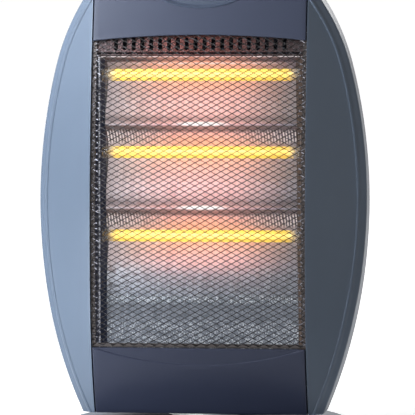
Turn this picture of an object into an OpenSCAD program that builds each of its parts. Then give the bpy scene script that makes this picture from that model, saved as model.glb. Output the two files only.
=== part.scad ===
// Halogen heater with three glowing tubes, on a round base that lets the head swing from side to side.
// Millimetres. +Z is up, the front faces -Y, and the origin is on the floor under the swivel axis.

/* [Head outline] */
// Half of the head's greatest width
head_half_w = 164; // [156:1:172]
// Height of the head's widest line above the floor
widest_z = 250; // [244:1:256]
// Height of the head's underside above the floor
head_bottom_z = 38; // [37:0.5:39]
// Radius of the long curves at the head's sides
side_r = 540; // [500:5:600]
// Radius of the curves at the head's shoulders
shoulder_r = 213; // [203:1:223]
// Angle at which a side curve turns into a shoulder
shoulder_from = 14.3; // [12:0.1:17]
// Angle at which a shoulder turns into the crown
shoulder_to = 50; // [45:1:55]

/* [Head depth] */
// Foremost line of the head, in front of the swivel axis
front_y = -60; // [-64:1:-56]
// Height of that foremost line
front_z = 150; // [140:1:160]
// Radius of the front above its foremost line
front_r_up = 1250; // [1150:10:1400]
// Radius of the front below its foremost line
front_r_low = 330; // [300:5:400]
// Joint between the front pieces and the rear cover
split_y = -2; // [-4:1:0]
// Rearmost point of the head
back_y = 50; // [48:1:60]
// Height of that rearmost point
back_z = 270; // [250:1:290]
// Radius of the back, from top to bottom
back_r_v = 1500; // [1400:10:2000]
// Radius of the back, from side to side
back_r_h = 321; // [310:1:400]
// Wall of the plastic covers
wall = 2.5; // [2:0.1:3]

/* [Front pieces] */
// Half width of the middle column: panels and guard
column_half_w = 106; // [105.5:0.1:106.5]
// Gap between the middle column and each side cover
column_gap = 1; // [0.6:0.1:1.5]
// Slope of a side cover's face, going back towards the side
cover_slope = 32; // [30:0.5:34]
// Depth of the turned-in inner edge of a side cover
cover_return = 8.5; // [7:0.5:9]
// Distance from the outline to the bead on a side cover
bead_inset = 5.5; // [4.5:0.1:7]
// Width of that bead
bead_w = 4; // [3:0.1:5]
// Height of that bead
bead_h = 1.4; // [0.8:0.1:2]
// Height of the top panel's lower edge, at its middle
top_panel_z = 413; // [412:0.5:414]
// Radius of the arch in the top panel's lower edge
top_arch_r = 1024; // [900:1:1400]
// Height of the bottom panel's upper edge
low_panel_z = 105; // [103:0.5:105.5]
// Drop of the crescent that is let into the bottom panel
crescent_drop = 17; // [12:0.5:22]
// Depth of that crescent
crescent_deep = 1.2; // [0.8:0.1:1.5]
// Depth of the turned-in edges of both panels
panel_return = 6; // [4:0.5:6]

/* [Back] */
// Width of a vent
vent_w = 42; // [36:1:44]
// Height of a vent
vent_h = 5; // [4.2:0.1:6]
// Distance between the rows of vents
vent_pitch = 12; // [10:0.5:12.5]
// Number of rows of vents
vent_rows = 14; // [8:1:15]
// Height of the lowest of these rows
vent_low_z = 160; // [150:1:165]
// Distance between the columns of vents
vent_column = 52; // [47:1:54]
// Number of rows in the small group of vents at the bottom
low_vent_rows = 4; // [2:1:5]
// Height of the lowest row of that group
low_vent_z = 66; // [62:1:75]
// Width of the carrying recess
handle_w = 112; // [100:1:118]
// Height of the carrying recess
handle_h = 30; // [27:0.5:31]
// Height of its middle above the floor
handle_z = 462; // [459:1:464]
// Depth of the carrying recess
handle_deep = 17; // [14:0.5:18]
// Rounding of its corners
handle_round = 12; // [8:0.5:12]
// Heights of the screws in the side covers
side_screw_zs = [165, 335];
// Distance of these screws from the middle
side_screw_x = 138; // [136:0.5:140]
// Place of the screws in the top panel, across and up
top_screw_at = [78, 448];
// Place of the screws in the bottom panel, across and up
low_screw_at = [88, 62];

/* [Guard] */
// Columns of diamonds
net_columns = 8; // [6:1:8]
// Rows of diamonds
net_rows = 20; // [16:1:20]
// Thickness of a strand
strand = 1.6; // [1.2:0.1:2]
// Width of the frame round the net
guard_frame_w = 4; // [3:0.5:5]
// Thickness of that frame
guard_frame_t = 1.2; // [1:0.1:1.5]

/* [Reflector] */
// Lean of the reflector's rim, away from upright
reflector_tilt = 3; // [2.5:0.1:3.5]
// Depth coordinate of the middle of the rim
rim_y = -36.5; // [-38:0.5:-36]
// Height of the middle of the rim
rim_z = 249.5; // [249:0.5:250]
// Half height of the rim's opening
rim_half_h = 143.5; // [143:0.5:144]
// Half width of the rim's opening
rim_half_w = 100; // [99:0.5:100.5]
// Sheet of the reflector
sheet = 1; // [0.8:0.1:1.2]
// Depth of the ridges between the troughs, behind the rim
ridge_deep = 10; // [8:0.5:12]
// Depth of the troughs, behind the rim
trough_deep = 38; // [34:0.5:40]
// Heights of the three tubes above the middle of the rim
tube_heights = [124.3, 47.7, -35.1];
// Distance from a tube up to the ridge above it
trough_above = 27; // [24:0.5:28]
// Height of the crease under the lowest trough, above the middle of the rim
crease_height = -100; // [-105:0.5:-96]
// Lean of the slotted top flange, away from upright
flange_lean = 12; // [11:0.5:14]
// Height of that flange
flange_h = 23; // [20:0.5:23]
// Number of slots in it
flange_slots = 20; // [16:1:20]
// Distance between the slots
slot_pitch = 8.86; // [8.2:0.02:9]
// Width of a slot
slot_w = 4.2; // [3.5:0.1:4.6]
// Height of a slot
slot_h = 13; // [10:0.5:14]

/* [Tubes] */
// Outer diameter of a quartz tube
tube_d = 12; // [11:0.1:12.5]
// Wall of a quartz tube
tube_wall = 1; // [0.8:0.1:1.2]
// Half length of a quartz tube
tube_half_l = 110; // [108:0.5:112]
// Depth of the tubes behind the rim
tube_deep = 12; // [11.5:0.5:14]
// Diameter of a filament's coil
filament_d = 4; // [3:0.1:5]
// Half length of the part of a filament that glows
glow_half_l = 94; // [88:0.5:96]
// Diameter of a ceramic end cap
cap_d = 16; // [15:0.5:16]
// Outer end of a cap, from the middle
cap_end = 117; // [115:0.5:118]
// Sheet of the two tube brackets
bracket_t = 1.2; // [1:0.1:1.5]

/* [Controls] */
// Height of the middle of the control recess
control_z = 475; // [474:0.5:476]
// Half width of the control recess
control_half_w = 60; // [57:0.5:61]
// Half height of the control recess
control_half_h = 36; // [34:0.5:37]
// Depth of the control recess
control_deep = 5; // [4:0.5:6]
// Distance between the rocker switches
switch_pitch = 32; // [28:0.5:34]
// Height of a switch's opening
rocker_h = 19; // [18:0.5:20]
// Width of a switch's opening
rocker_w = 12; // [11:0.5:13]
// Lean of a rocker when it is pressed at one end
rocker_lean = 8; // [6:0.5:9]

/* [Base] */
// Radius of the base
base_r = 150; // [145:1:155]
// Height of the base cover's top, at its hub
base_top_z = 33; // [32:0.5:33.2]
// Height of the base cover's shoulder
shoulder_z = 25; // [23:0.5:26]
// Rounding of that shoulder
base_round = 11; // [8:0.5:13]
// Height of the rubber feet
foot_h = 3; // [2.5:0.1:4]
// Distance from the edge of the base in to the middles of the feet
foot_in = 22; // [18:1:30]
// Sheet of the steel base plate
base_plate_t = 1.5; // [1:0.1:2]
// Outer radius of the pivot tube
pivot_r = 10; // [9:0.1:11]
// Bore of the pivot tube, for the wires
pivot_bore_r = 7.5; // [6:0.1:8]
// Radial clearance of what turns on a shaft or pin
turn_fit = 0.05; // [0.03:0.01:0.1]

/* [Swing drive] */
// Distance from the swivel axis to the motor's shaft
crank_at = 24; // [23:0.5:25]
// Distance from that shaft to the crank's pin
crank_throw = 12; // [11.5:0.5:12.5]
// Radius of the crank's pin
crank_pin_r = 2; // [1.8:0.1:2.2]
// Room beside the pin in the slotted arm
slot_room = 2.6; // [2.5:0.1:3]
// Radius of the swing motor
motor_r = 24; // [22:0.5:25]
// Height of the swing motor
motor_h = 18; // [16:0.5:22]

/* [Hidden] */
$fn = 72;
ROUND = 24; // segments of small circles
FINE = 240; // segments of large circles
BIG = 400;
STEP = 0.3; // clearance between bodies that pass each other
HAIR = 0.1; // clearance of fixed round pieces in their holes
SCREW_R = 1.5;
PILOT_R = SCREW_R + HAIR;
SCREW_HOLE_R = 1.8;
SCREW_HEAD_R = 3.4;
SCREW_HEAD_H = 2.2;
HEAD_DEEP = 6; // from the joint of the covers to the heads of their screws
PILOT_DEEP = 14;
BOSS_R = 4.5;
QUARTERS = [45:90:315];
SPAN = 3 * head_half_w;

// Outline of the head, seen from the front: middles of its arcs
side_c = [head_half_w - side_r, widest_z];
shoulder_c = side_c + (side_r - shoulder_r) * [cos(shoulder_from), sin(shoulder_from)];
crown_cut = -shoulder_c.x / cos(shoulder_to);
crown_c = shoulder_c + crown_cut * [cos(shoulder_to), sin(shoulder_to)];
crown_r = shoulder_r - crown_cut;

// Points on an arc from one angle to another, in n steps
function arc(c, r, a0, a1, n, skip = 0) =
    [for (i = [skip:n]) c + r * [cos(a0 + (a1 - a0) * i / n), sin(a0 + (a1 - a0) * i / n)]];

// Depth coordinate of the front's surface at a height
function front_at(z) = let (r = z > front_z ? front_r_up : front_r_low)
    front_y + r - sqrt(pow(r, 2) - pow(z - front_z, 2));
// Depth coordinate of the back's surface at a place
function back_at(x, z) = back_y - back_r_v
    + sqrt(pow(back_r_v - back_r_h + sqrt(pow(back_r_h, 2) - pow(x, 2)), 2) - pow(z - back_z, 2));

cover_x = column_half_w + column_gap;
guard_top_z = top_panel_z + 7;
guard_low_z = low_panel_z + 0.5;
guard_half_w = cover_x - 0.2;
guard_deep = wall + STEP;
net_lap = 1;
net_w = 2 * (guard_half_w - guard_frame_w + net_lap);
net_h = guard_top_z - guard_low_z - 2 * (guard_frame_w - net_lap);
cell_w = net_w / net_columns;
cell_h = net_h / net_rows;
net_low_z = guard_low_z + guard_frame_w - net_lap;
crescent_r = (pow(crescent_drop, 2) + pow(column_half_w, 2)) / (2 * crescent_drop);

// Reflector, in its own leaning frame: x across, y behind the rim, z above its middle
end_x = rim_half_w + sheet;
bracket_x = end_x + bracket_t;
tube_hole_r = tube_d / 2 + 1.5;
slot_low = 5;
ridge_w = 2;
lowest = tube_heights[2];
cap_flange = 3;
terminal_l = 8;
bracket_back = trough_deep + 8;
bracket_tab = 13;
post_x = end_x + bracket_tab / 2 + 1;
post_heights = [-90, 20, 118];
bracket_screw_l = 9;
bracket_low = crease_height - 5;

control_y = front_at(control_z);
control_lean = asin((control_z - front_z) / front_r_up);

// Base and swivel, in steps up from the floor
plate_z = foot_h;
pivot_flange_z = plate_z + base_plate_t;
washer_h = 1.5;
collar_z = base_top_z + washer_h + STEP;
collar_r = 40;
neck_r = pivot_r + 4;
swivel_z = head_bottom_z + wall;
swivel_t = 1.5;
bush_top_z = swivel_z + swivel_t + 1;
nut_z = bush_top_z + STEP;
nut_h = 4;
arm_z = nut_z + nut_h;
arm_t = 3;
pivot_top_z = arm_z + arm_t + 1;
crank_z = arm_z + arm_t + 2.5;
crank_t = 3;
motor_z = crank_z + crank_t + 4.5;
bridge_t = 1.5;
crank_r = crank_throw + crank_pin_r + 1.5;
// Pin's nearest and farthest distance from the axis over the swing
pin_near = sqrt(pow(crank_at, 2) - pow(crank_throw, 2));
pin_far = crank_at + crank_throw;
slot_from = pin_near - crank_pin_r - STEP;
slot_end = pin_far + crank_pin_r + STEP;
slot_half_w = crank_pin_r + slot_room;
arm_tip = 2;
bridge_room = 11;
arm_half_w = slot_half_w + 2.4;
bridge_in = -(pivot_r + bridge_room);
bridge_out = slot_end + 9;

// Parts of the swing drive
shaft_r = 3;
shaft_in = 6;
gear_boss_r = 7;
gear_boss_h = 3;
hub_r = pivot_r + 6;
washer_r = 26;
collar_skin = 0.8;
bridge_half_w = 13;
bridge_foot = 11;
bridge_screw_places = [for (x = [bridge_in - bridge_foot / 2, bridge_out + bridge_foot / 2])
    for (s = [-1, 1]) [x, s * 9]];
plate_half_w = 60;
plate_y0 = -34;
plate_y1 = 22;
collar_screw_at = 24;

// Wires and their blocks
block_mid = 100;
block_w = 11;
block_l = 32;
block_y = -24;
block_h = 14;
block_top_z = swivel_z + block_h;
block_hole_at = 9;
block_pitch = 7;
block_hole_r = 1.8;
block_hole_deep = 5;
wire_r = 1.4;
wire_x = cap_end + 4;
wire_y = 6;
wire_low_z = block_top_z + 6;
lead_y = -20;
lead_z = block_top_z + wire_r + STEP;
cutout_height = 70;

// Switches
rim_below = 0.6; // from the covers' surface down to the edge of a dish or cup
control_rim = 2.1;
cup_wall = 2;
bezel_h = 1.5;
bezel_w = 3;
housing_wall = 1.5;
housing_l = 17;
pivot_deep = 3;
pin_r = 1.2;

// Parts of the base
pivot_flange_r = 24;
pivot_flange_t = 2.5;
base_screw_at = 95;
inlet_z = 10.5;
inlet_r = 5;
inlet_bore_r = 3.3;
inlet_lip = 0.8;
foot_r = 10;
foot_at = base_r - foot_in;
stud_r = 3;
tilt_at = [46, 52];
tilt_r = 3;
tilt_travel = 3;
tilt_box = [26, 16];
tilt_collar = 1.4;
tilt_collar_h = 1.5;
tilt_hollow_r = tilt_r + tilt_collar + 0.2;
tilt_hollow_h = tilt_collar_h + tilt_travel + 2 * STEP;
tilt_rod_l = 14;
tilt_h = 16;
base_screw_head = 1.8;
base_screw_l = 12;
base_lip = 0.6;

// A flat shape, drawn across and up, made into a slab between two depths
module slab(y0, y1) {
    translate([0, y1, 0]) rotate([90, 0, 0]) linear_extrude(y1 - y0) children();
}

// A flat shape, drawn in depth and height, swept across
module sweep(w) {
    translate([-w / 2, 0, 0]) rotate([90, 0, 90]) linear_extrude(w) children();
}

// Everything behind the front's curve; k stretches the radii for the slanted faces
module behind_front(y, inset, k = 1) {
    past = 20;
    intersection() {
        translate([y + front_r_up / k, front_z]) circle(front_r_up / k - inset, $fn = FINE);
        translate([y - past, front_z]) square([BIG, BIG]);
    }
    intersection() {
        translate([y + front_r_low / k, front_z]) circle(front_r_low / k - inset, $fn = FINE);
        translate([y - past, front_z - BIG]) square([BIG, BIG]);
    }
}

// Outline of the head down to a height, drawn in by o: its sides, shoulders and crown
module head_arcs(o, low) {
    half = concat(
        arc(side_c, side_r - o, -asin((widest_z - low) / (side_r - o)), shoulder_from, 14),
        arc(shoulder_c, shoulder_r - o, shoulder_from, shoulder_to, 10, 1),
        arc(crown_c, crown_r - o, shoulder_to, 90, 10, 1));
    polygon(concat(half, [for (i = [len(half) - 2:-1:0]) [-half[i].x, half[i].y]]));
}

module head_shape(o) {
    head_arcs(o, head_bottom_z + o);
}

// The front half of the head as a full block, drawn in by o at the outline and by inset at the face
module front_block(o, inset, past = 0) {
    intersection() {
        slab(front_y - wall, split_y + past) head_shape(o);
        sweep(SPAN) behind_front(front_y, inset);
    }
}

// The same for the slanted face of a side cover, from a place across
module slanted_block(o, inset, from_x, past = 0) {
    intersection() {
        slab(front_y - 10, split_y + past) head_shape(o);
        translate([cover_x, front_y, 0]) rotate([0, 0, cover_slope])
            sweep(SPAN) behind_front(0, inset, cos(cover_slope));
        translate([from_x, -BIG / 2, 0]) cube([BIG, BIG, 2 * BIG]);
    }
}

// The back half, cut from a large ring so that it curves both ways
module back_block(o, inset, past = 0) {
    half_turn = 12;
    intersection() {
        slab(split_y - past, back_y + 10) head_shape(o);
        translate([0, back_y - back_r_v, back_z]) rotate([0, 90, 0]) rotate([0, 0, 90 - half_turn])
            rotate_extrude(angle = 2 * half_turn, $fn = FINE)
                translate([back_r_v - back_r_h, 0]) circle(back_r_h - inset, $fn = FINE);
    }
}

// Boss for a cover screw, from one depth to another
module boss(x, z, y0, y1) {
    translate([x, y1, z]) rotate([90, 0, 0]) cylinder(r = BOSS_R, h = y1 - y0, $fn = ROUND);
}

module screw_hole(x, z, y0, y1, r = SCREW_HOLE_R) {
    translate([x, y1, z]) rotate([90, 0, 0]) cylinder(r = r, h = y1 - y0, $fn = ROUND);
}

// Places of the screws that join the rear cover to the front pieces
function screw_places() = concat(
    [for (s = [-1, 1]) for (z = side_screw_zs) [s * side_screw_x, z]],
    [for (s = [-1, 1]) [s * top_screw_at.x, top_screw_at.y]],
    [for (s = [-1, 1]) [s * low_screw_at.x, low_screw_at.y]]);

// Boss on the inside of a front piece, made from the piece's full block, with the hole for its screw
module front_boss(x, z) {
    difference() {
        intersection() {
            boss(x, z, front_y, split_y);
            children();
        }
        screw_hole(x, z, split_y - PILOT_DEEP, split_y + 1, PILOT_R);
    }
}

// Holes in the head's floor for the neck and its screws
module floor_holes() {
    translate([0, 0, head_bottom_z - 1]) cylinder(r = neck_r + STEP, h = wall + 2);
    collar_screws(head_bottom_z - 1, wall + 2, SCREW_HOLE_R);
}

module ellipse(a, b) {
    polygon([for (i = [0:47]) [a * cos(i * 7.5), b * sin(i * 7.5)]]);
}

// Frame of the control recess: x across, z up the leaning panel, y into the head
module control_frame() {
    translate([0, control_y, control_z]) rotate([-control_lean, 0, 0]) children();
}

module top_panel() {
    color("slategray") difference() {
        intersection() {
            difference() {
                front_block(0, 0);
                front_block(wall, wall, 1);
            }
            translate([-column_half_w, -BIG / 2, 0]) cube([2 * column_half_w, BIG, 2 * BIG]);
            slab(-BIG, BIG) difference() {
                translate([-BIG, low_panel_z]) square([2 * BIG, 2 * BIG]);
                translate([0, top_panel_z - top_arch_r]) circle(top_arch_r, $fn = FINE);
            }
        }
        control_frame() slab(-BIG / 4, BIG / 4) ellipse(control_half_w, control_half_h);
    }
    color("slategray") for (s = [-1, 1]) front_boss(s * top_screw_at.x, top_screw_at.y)
        front_block(0, wall / 2);
}

// Dish of the control recess, with an opening for each switch
module control_panel() {
    color("dimgray") control_frame() difference() {
        slab(rim_below, control_deep + wall) ellipse(control_half_w - STEP, control_half_h - STEP);
        slab(0, control_deep) ellipse(control_half_w - control_rim, control_half_h - control_rim);
        for (i = [-1:1]) translate([i * switch_pitch, 0, 0])
            cube([rocker_w + 2 * (housing_wall + HAIR), BIG / 4, rocker_h + 2 * (housing_wall + HAIR)],
                center = true);
    }
}

module crescent() {
    intersection() {
        translate([0, low_panel_z - crescent_drop + crescent_r]) circle(crescent_r, $fn = FINE);
        translate([-BIG, 0]) square([2 * BIG, low_panel_z + 1]);
    }
}

module bottom_panel() {
    color([0.19, 0.22, 0.3]) {
        difference() {
            intersection() {
                difference() {
                    front_block(0, 0);
                    front_block(wall, wall + crescent_deep, 1);
                }
                translate([-column_half_w, -BIG / 2, 0]) cube([2 * column_half_w, BIG, low_panel_z]);
            }
            difference() {
                slab(-BIG, BIG) crescent();
                sweep(SPAN) behind_front(front_y, crescent_deep);
            }
            floor_holes();
        }
        for (s = [-1, 1]) front_boss(s * low_screw_at.x, low_screw_at.y) front_block(0, wall);
        // Turned-in upper edge
        intersection() {
            difference() {
                front_block(0, crescent_deep);
                front_block(0, panel_return, 1);
            }
            translate([-column_half_w, -BIG / 2, low_panel_z - 2]) cube([2 * column_half_w, BIG, 2]);
        }
    }
}

// Right-hand side cover; the left-hand one is its mirror image
module side_cover() {
    difference() {
        slanted_block(0, 0, cover_x);
        slanted_block(wall, wall, cover_x + wall, 1);
        slanted_block(wall, cover_return, cover_x - 1, 1);
    }
    // Bead along the outline
    intersection() {
        difference() {
            slanted_block(0, -bead_h, cover_x);
            slanted_block(-1, wall / 2, cover_x - 1, 1);
        }
        slab(-BIG, BIG) difference() {
            head_arcs(bead_inset, head_bottom_z);
            head_arcs(bead_inset + bead_w, head_bottom_z - 1);
        }
    }
    for (z = side_screw_zs) front_boss(side_screw_x, z) slanted_block(0, wall / 2, cover_x);
}

module side_cover_right() {
    color("lightsteelblue") side_cover();
}

module side_cover_left() {
    color("lightsteelblue") mirror([1, 0, 0]) side_cover();
}

// A slot with round ends through the back
module vent(x, z) {
    slab(split_y + 4, back_y + 1) translate([x, z]) {
        square([vent_w - vent_h, vent_h], center = true);
        for (s = [-1, 1]) translate([s * (vent_w - vent_h) / 2, 0]) circle(vent_h / 2, $fn = ROUND);
    }
}

module handle_outline(o) {
    w = handle_w / 2 - o;
    h = handle_h / 2 - o;
    r = handle_round - o;
    translate([0, handle_z]) union() {
        square([2 * (w - r), 2 * h], center = true);
        square([2 * w, 2 * (h - r)], center = true);
        for (x = [r - w, w - r]) for (z = [r - h, h - r]) translate([x, z]) circle(r, $fn = ROUND);
    }
}

module rear_cover() {
    color("slategray") {
        difference() {
            back_block(0, 0);
            back_block(wall, wall, 1);
            for (s = [-1:1]) for (i = [0:vent_rows - 1]) vent(s * vent_column, vent_low_z + i * vent_pitch);
            for (i = [0:low_vent_rows - 1]) vent(0, low_vent_z + i * vent_pitch);
            slab(split_y + 4, back_y + 1) handle_outline(0);
            floor_holes();
            for (p = screw_places()) screw_hole(p.x, p.y, split_y, back_y + 1, (SCREW_HEAD_R + BOSS_R) / 2);
        }
        // Bosses for the cover screws
        for (p = screw_places()) difference() {
            intersection() {
                boss(p.x, p.y, split_y, back_y);
                back_block(0, wall / 2);
            }
            screw_hole(p.x, p.y, split_y - 1, back_y);
            screw_hole(p.x, p.y, split_y + HEAD_DEEP, back_y + 1, SCREW_HEAD_R + STEP);
        }
        // Posts that carry the tube brackets
        for (s = [-1, 1]) for (h = post_heights) difference() {
            intersection() {
                reflector_frame() boss(s * post_x, h, bracket_back, bracket_back + back_y);
                back_block(0, wall / 2);
            }
            reflector_frame()
                screw_hole(s * post_x, h, bracket_back - 1, bracket_back + bracket_screw_l, PILOT_R);
        }
    }
}

module handle_cup() {
    color("dimgray") difference() {
        intersection() {
            slab(back_at(0, handle_z) - handle_deep, back_y) handle_outline(STEP);
            back_block(0, rim_below);
        }
        slab(back_at(0, handle_z) - handle_deep + wall, back_y + 1) handle_outline(STEP + cup_wall);
    }
}

// One closed net of diamonds. Each strand has a ridge in front and behind, and an edge at each diamond.
module guard_net() {
    hole_x = cell_w / 2 - strand / 2 * sqrt(1 + pow(cell_w / cell_h, 2));
    hole_z = hole_x * cell_h / cell_w;
    corner = function (i, j) [-net_w / 2 + i * cell_w / 2, net_low_z + j * cell_h / 2];
    place = function (p, deep) [p.x, front_at(p.y) + guard_deep + deep, p.y];
    // Grid of half steps, the front ridge first and the back ridge after it
    cols = 2 * net_columns + 1;
    rows = 2 * net_rows + 1;
    id = function (i, j, back) (back * rows + j) * cols + i;
    ridges = [for (back = [0, 1]) for (j = [0:rows - 1]) for (i = [0:cols - 1])
        place(corner(i, j), back * strand)];
    cells = [for (j = [1:rows - 2]) for (i = [1:cols - 2]) if ((i + j) % 2 == 0) [i, j]];
    turn = [[1, 0], [0, 1], [-1, 0], [0, -1]];
    edges = [for (c = cells) for (d = turn)
        place(corner(c.x, c.y) + [d.x * hole_x, d.y * hole_z], strand / 2)];
    inside = function (i, j) i > 0 && i < cols - 1 && j > 0 && j < rows - 1;
    faces = [for (n = [0:len(cells) - 1]) let (c = cells[n]) for (k = [0:3]) let (
        l = (k + 1) % 4,
        a = len(ridges) + 4 * n + k,
        b = len(ridges) + 4 * n + l,
        front_a = id(c.x + turn[k].x, c.y + turn[k].y, 0),
        front_b = id(c.x + turn[l].x, c.y + turn[l].y, 0),
        back_a = id(c.x + turn[k].x, c.y + turn[k].y, 1),
        back_b = id(c.x + turn[l].x, c.y + turn[l].y, 1),
        next = c + turn[k] + turn[l])
        each concat(
            [[front_a, a, b], [front_a, b, front_b], [back_a, b, a], [back_a, back_b, b]],
            inside(next.x, next.y) ? []
                : [[front_a, front_b, back_b], [front_a, back_b, back_a]])];
    color("silver") polyhedron(concat(ridges, edges), faces);
}

module guard_frame() {
    color("gray") intersection() {
        difference() {
            sweep(2 * guard_half_w) behind_front(front_y, guard_deep + strand);
            sweep(2 * BIG) behind_front(front_y, guard_deep + strand + guard_frame_t);
        }
        slab(-BIG, BIG) difference() {
            translate([-guard_half_w, guard_low_z]) square([2 * guard_half_w, guard_top_z - guard_low_z]);
            translate([guard_frame_w - guard_half_w, guard_low_z + guard_frame_w])
                square([2 * (guard_half_w - guard_frame_w), guard_top_z - guard_low_z - 2 * guard_frame_w]);
        }
    }
}

// Frame of the reflector: x across, z up along the rim, y behind it
module reflector_frame() {
    translate([0, rim_y, rim_z]) rotate([-reflector_tilt, 0, 0]) children();
}

// Quarter of an ellipse from [0, z0 + a] round to [b, z0], as depth and height; a below zero goes down
function quarter(z0, a, y0, b, n) = [for (i = [0:n]) [y0 + b * sin(90 * i / n), z0 + a * cos(90 * i / n)]];

// Hollow of one trough, as depth and height, grown by t
function trough(z, above, below, t) = let (deep = trough_deep - ridge_deep + t) concat(
    [[-1, z + above + t]], quarter(z, above + t, ridge_deep, deep, 8),
    [for (i = [1:8]) [ridge_deep + deep * (1 - pow(i / 8, 1.6)), z - (below + t) * i / 8]],
    [[-1, z - below - t]]);

// The reflector's hollow seen from the side, grown by t for its outside
module hollow(t) {
    for (i = [0:2]) polygon(trough(tube_heights[i],
        i == 0 ? rim_half_h - tube_heights[0] : trough_above - ridge_w / 2,
        i == 2 ? lowest - crease_height
            : tube_heights[i] - tube_heights[i + 1] - trough_above - ridge_w / 2, t));
    polygon([[-1, crease_height + 6], [ridge_deep + 5 + t, crease_height + 6],
        [ridge_deep + t, crease_height], [ridge_deep / 2 + t, -rim_half_h - t], [-1, -rim_half_h - t]]);
    translate([-1, crease_height]) square([1 + ridge_deep + t, rim_half_h + t - crease_height]);
}

// Rim, bent outwards, and above it the top flange, which leans back
module rim_section() {
    bend = flange_lean - reflector_tilt;
    top = [flange_h * sin(bend), rim_half_h + flange_h * cos(bend)];
    polygon([[0, -rim_half_h - 3], [0, rim_half_h], top, top + sheet * [cos(bend), -sin(bend)],
        [sheet, rim_half_h - sheet * tan(bend / 2)], [sheet, -rim_half_h - 3]]);
}

module reflector_shell() {
    difference() {
        union() {
            sweep(2 * end_x) hollow(sheet);
            sweep(2 * column_half_w) rim_section();
        }
        sweep(2 * rim_half_w) hollow(0);
        translate([-end_x - 1, -2, -BIG / 2]) cube([2 * end_x + 2, 2, BIG / 2 + rim_half_h]);
        for (z = tube_heights) translate([-BIG / 2, tube_deep, z]) rotate([0, 90, 0])
            cylinder(r = tube_hole_r, h = BIG);
    }
}

// Slots in the top flange, which let the heat out
module flange_cuts() {
    translate([0, 0, rim_half_h]) rotate([reflector_tilt - flange_lean, 0, 0])
        slab(-1, sheet + 1) for (i = [0:flange_slots - 1])
            translate([(i - (flange_slots - 1) / 2) * slot_pitch, slot_low + slot_w / 2]) {
                circle(slot_w / 2, $fn = ROUND);
                translate([-slot_w / 2, 0]) square([slot_w, slot_h - slot_w]);
                translate([0, slot_h - slot_w]) circle(slot_w / 2, $fn = ROUND);
            }
}

module reflector() {
    color("gainsboro") reflector_frame() difference() {
        reflector_shell();
        flange_cuts();
    }
}

// A cylinder along x between two places, at a tube's axis
module on_tube(z, x0, x1, r) {
    translate([x0, tube_deep, z]) rotate([0, 90, 0]) cylinder(r = r, h = x1 - x0);
}

module quartz_tubes() {
    color("khaki") reflector_frame() for (z = tube_heights) difference() {
        on_tube(z, -tube_half_l, tube_half_l, tube_d / 2);
        on_tube(z, -tube_half_l + 1, tube_half_l - 1, tube_d / 2 - tube_wall);
    }
}

module filaments() {
    color("orange") reflector_frame() for (z = tube_heights) {
        on_tube(z, -glow_half_l, glow_half_l, filament_d / 2);
        for (s = [-1, 1]) on_tube(z, min(s * glow_half_l, s * (tube_half_l - 1)),
            max(s * glow_half_l, s * (tube_half_l - 1)), 0.6);
    }
}

module ceramic_caps() {
    color("ivory") reflector_frame() for (z = tube_heights) for (s = [0, 1]) mirror([s, 0, 0]) difference() {
        union() {
            on_tube(z, bracket_x, cap_end, cap_d / 2);
            translate([bracket_x, tube_deep - cap_d / 2, z - cap_d / 2 - 5])
                cube([cap_flange, cap_d, cap_d + 10]);
        }
        on_tube(z, bracket_x - 1, tube_half_l + 0.5, tube_d / 2 + 0.1);
    }
}

module tube_terminals() {
    color("goldenrod") reflector_frame() for (z = tube_heights) for (s = [0, 1]) mirror([s, 0, 0])
        translate([cap_end, tube_deep - 0.4, z - 3.15]) cube([terminal_l, 0.8, 6.3]);
}

// Upright steel bracket that carries the caps of one side, screwed to the rear cover's posts
module tube_bracket() {
    color("silver") reflector_frame() difference() {
        union() {
            translate([end_x, sheet, bracket_low])
                cube([bracket_t, bracket_back - sheet, rim_half_h - crease_height]);
            translate([end_x, bracket_back - bracket_t, bracket_low])
                cube([bracket_tab, bracket_t, rim_half_h - crease_height]);
        }
        for (z = tube_heights) on_tube(z, end_x - 1, bracket_x + 1, tube_hole_r);
        for (h = post_heights) translate([post_x, bracket_back + 1, h]) rotate([90, 0, 0])
            cylinder(r = SCREW_HOLE_R, h = bracket_t + 2, $fn = ROUND);
    }
}

module tube_bracket_right() {
    tube_bracket();
}

module tube_bracket_left() {
    mirror([1, 0, 0]) tube_bracket();
}

// Screw along y: its head in front of the origin, its shank behind it
module screw(l) {
    rotate([90, 0, 0]) difference() {
        union() {
            translate([0, 0, -l]) cylinder(r = SCREW_R, h = l, $fn = ROUND);
            cylinder(r = SCREW_HEAD_R, h = SCREW_HEAD_H, $fn = ROUND);
        }
        for (a = [0, 90]) rotate([0, 0, a]) translate([0, 0, SCREW_HEAD_H]) cube([4, 0.8, 2], center = true);
    }
}

module bracket_screws() {
    color("silver") reflector_frame() for (s = [-1, 1]) for (h = post_heights)
        translate([s * post_x, bracket_back - bracket_t, h]) screw(bracket_screw_l);
}

module rear_screws() {
    color("silver") for (p = screw_places())
        translate([p.x, split_y + HEAD_DEEP, p.y]) mirror([0, 1, 0]) screw(HEAD_DEEP + PILOT_DEEP - 2);
}

// Lead up one side, from the terminal block, with a branch to each tube's terminal
module wiring() {
    top = height_on_head(tube_heights[0]);
    color("white") {
        translate([wire_x, wire_y, wire_low_z]) cylinder(r = wire_r, h = top - wire_low_z, $fn = ROUND);
        for (x = [wire_x, block_mid]) translate([x, wire_y, wire_low_z]) sphere(wire_r, $fn = ROUND);
        translate([block_mid, wire_y, wire_low_z]) rotate([0, 90, 0])
            cylinder(r = wire_r, h = wire_x - block_mid, $fn = ROUND);
        translate([block_mid, wire_y, block_top_z])
            cylinder(r = wire_r, h = wire_low_z - block_top_z, $fn = ROUND);
        for (h = tube_heights) {
            terminal_y = rim_y + (tube_deep + 0.4) * cos(reflector_tilt) + h * sin(reflector_tilt);
            translate([wire_x, wire_y, height_on_head(h)]) rotate([90, 0, 0])
                cylinder(r = wire_r, h = wire_y - terminal_y - 0.1, $fn = ROUND);
        }
    }
}

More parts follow.
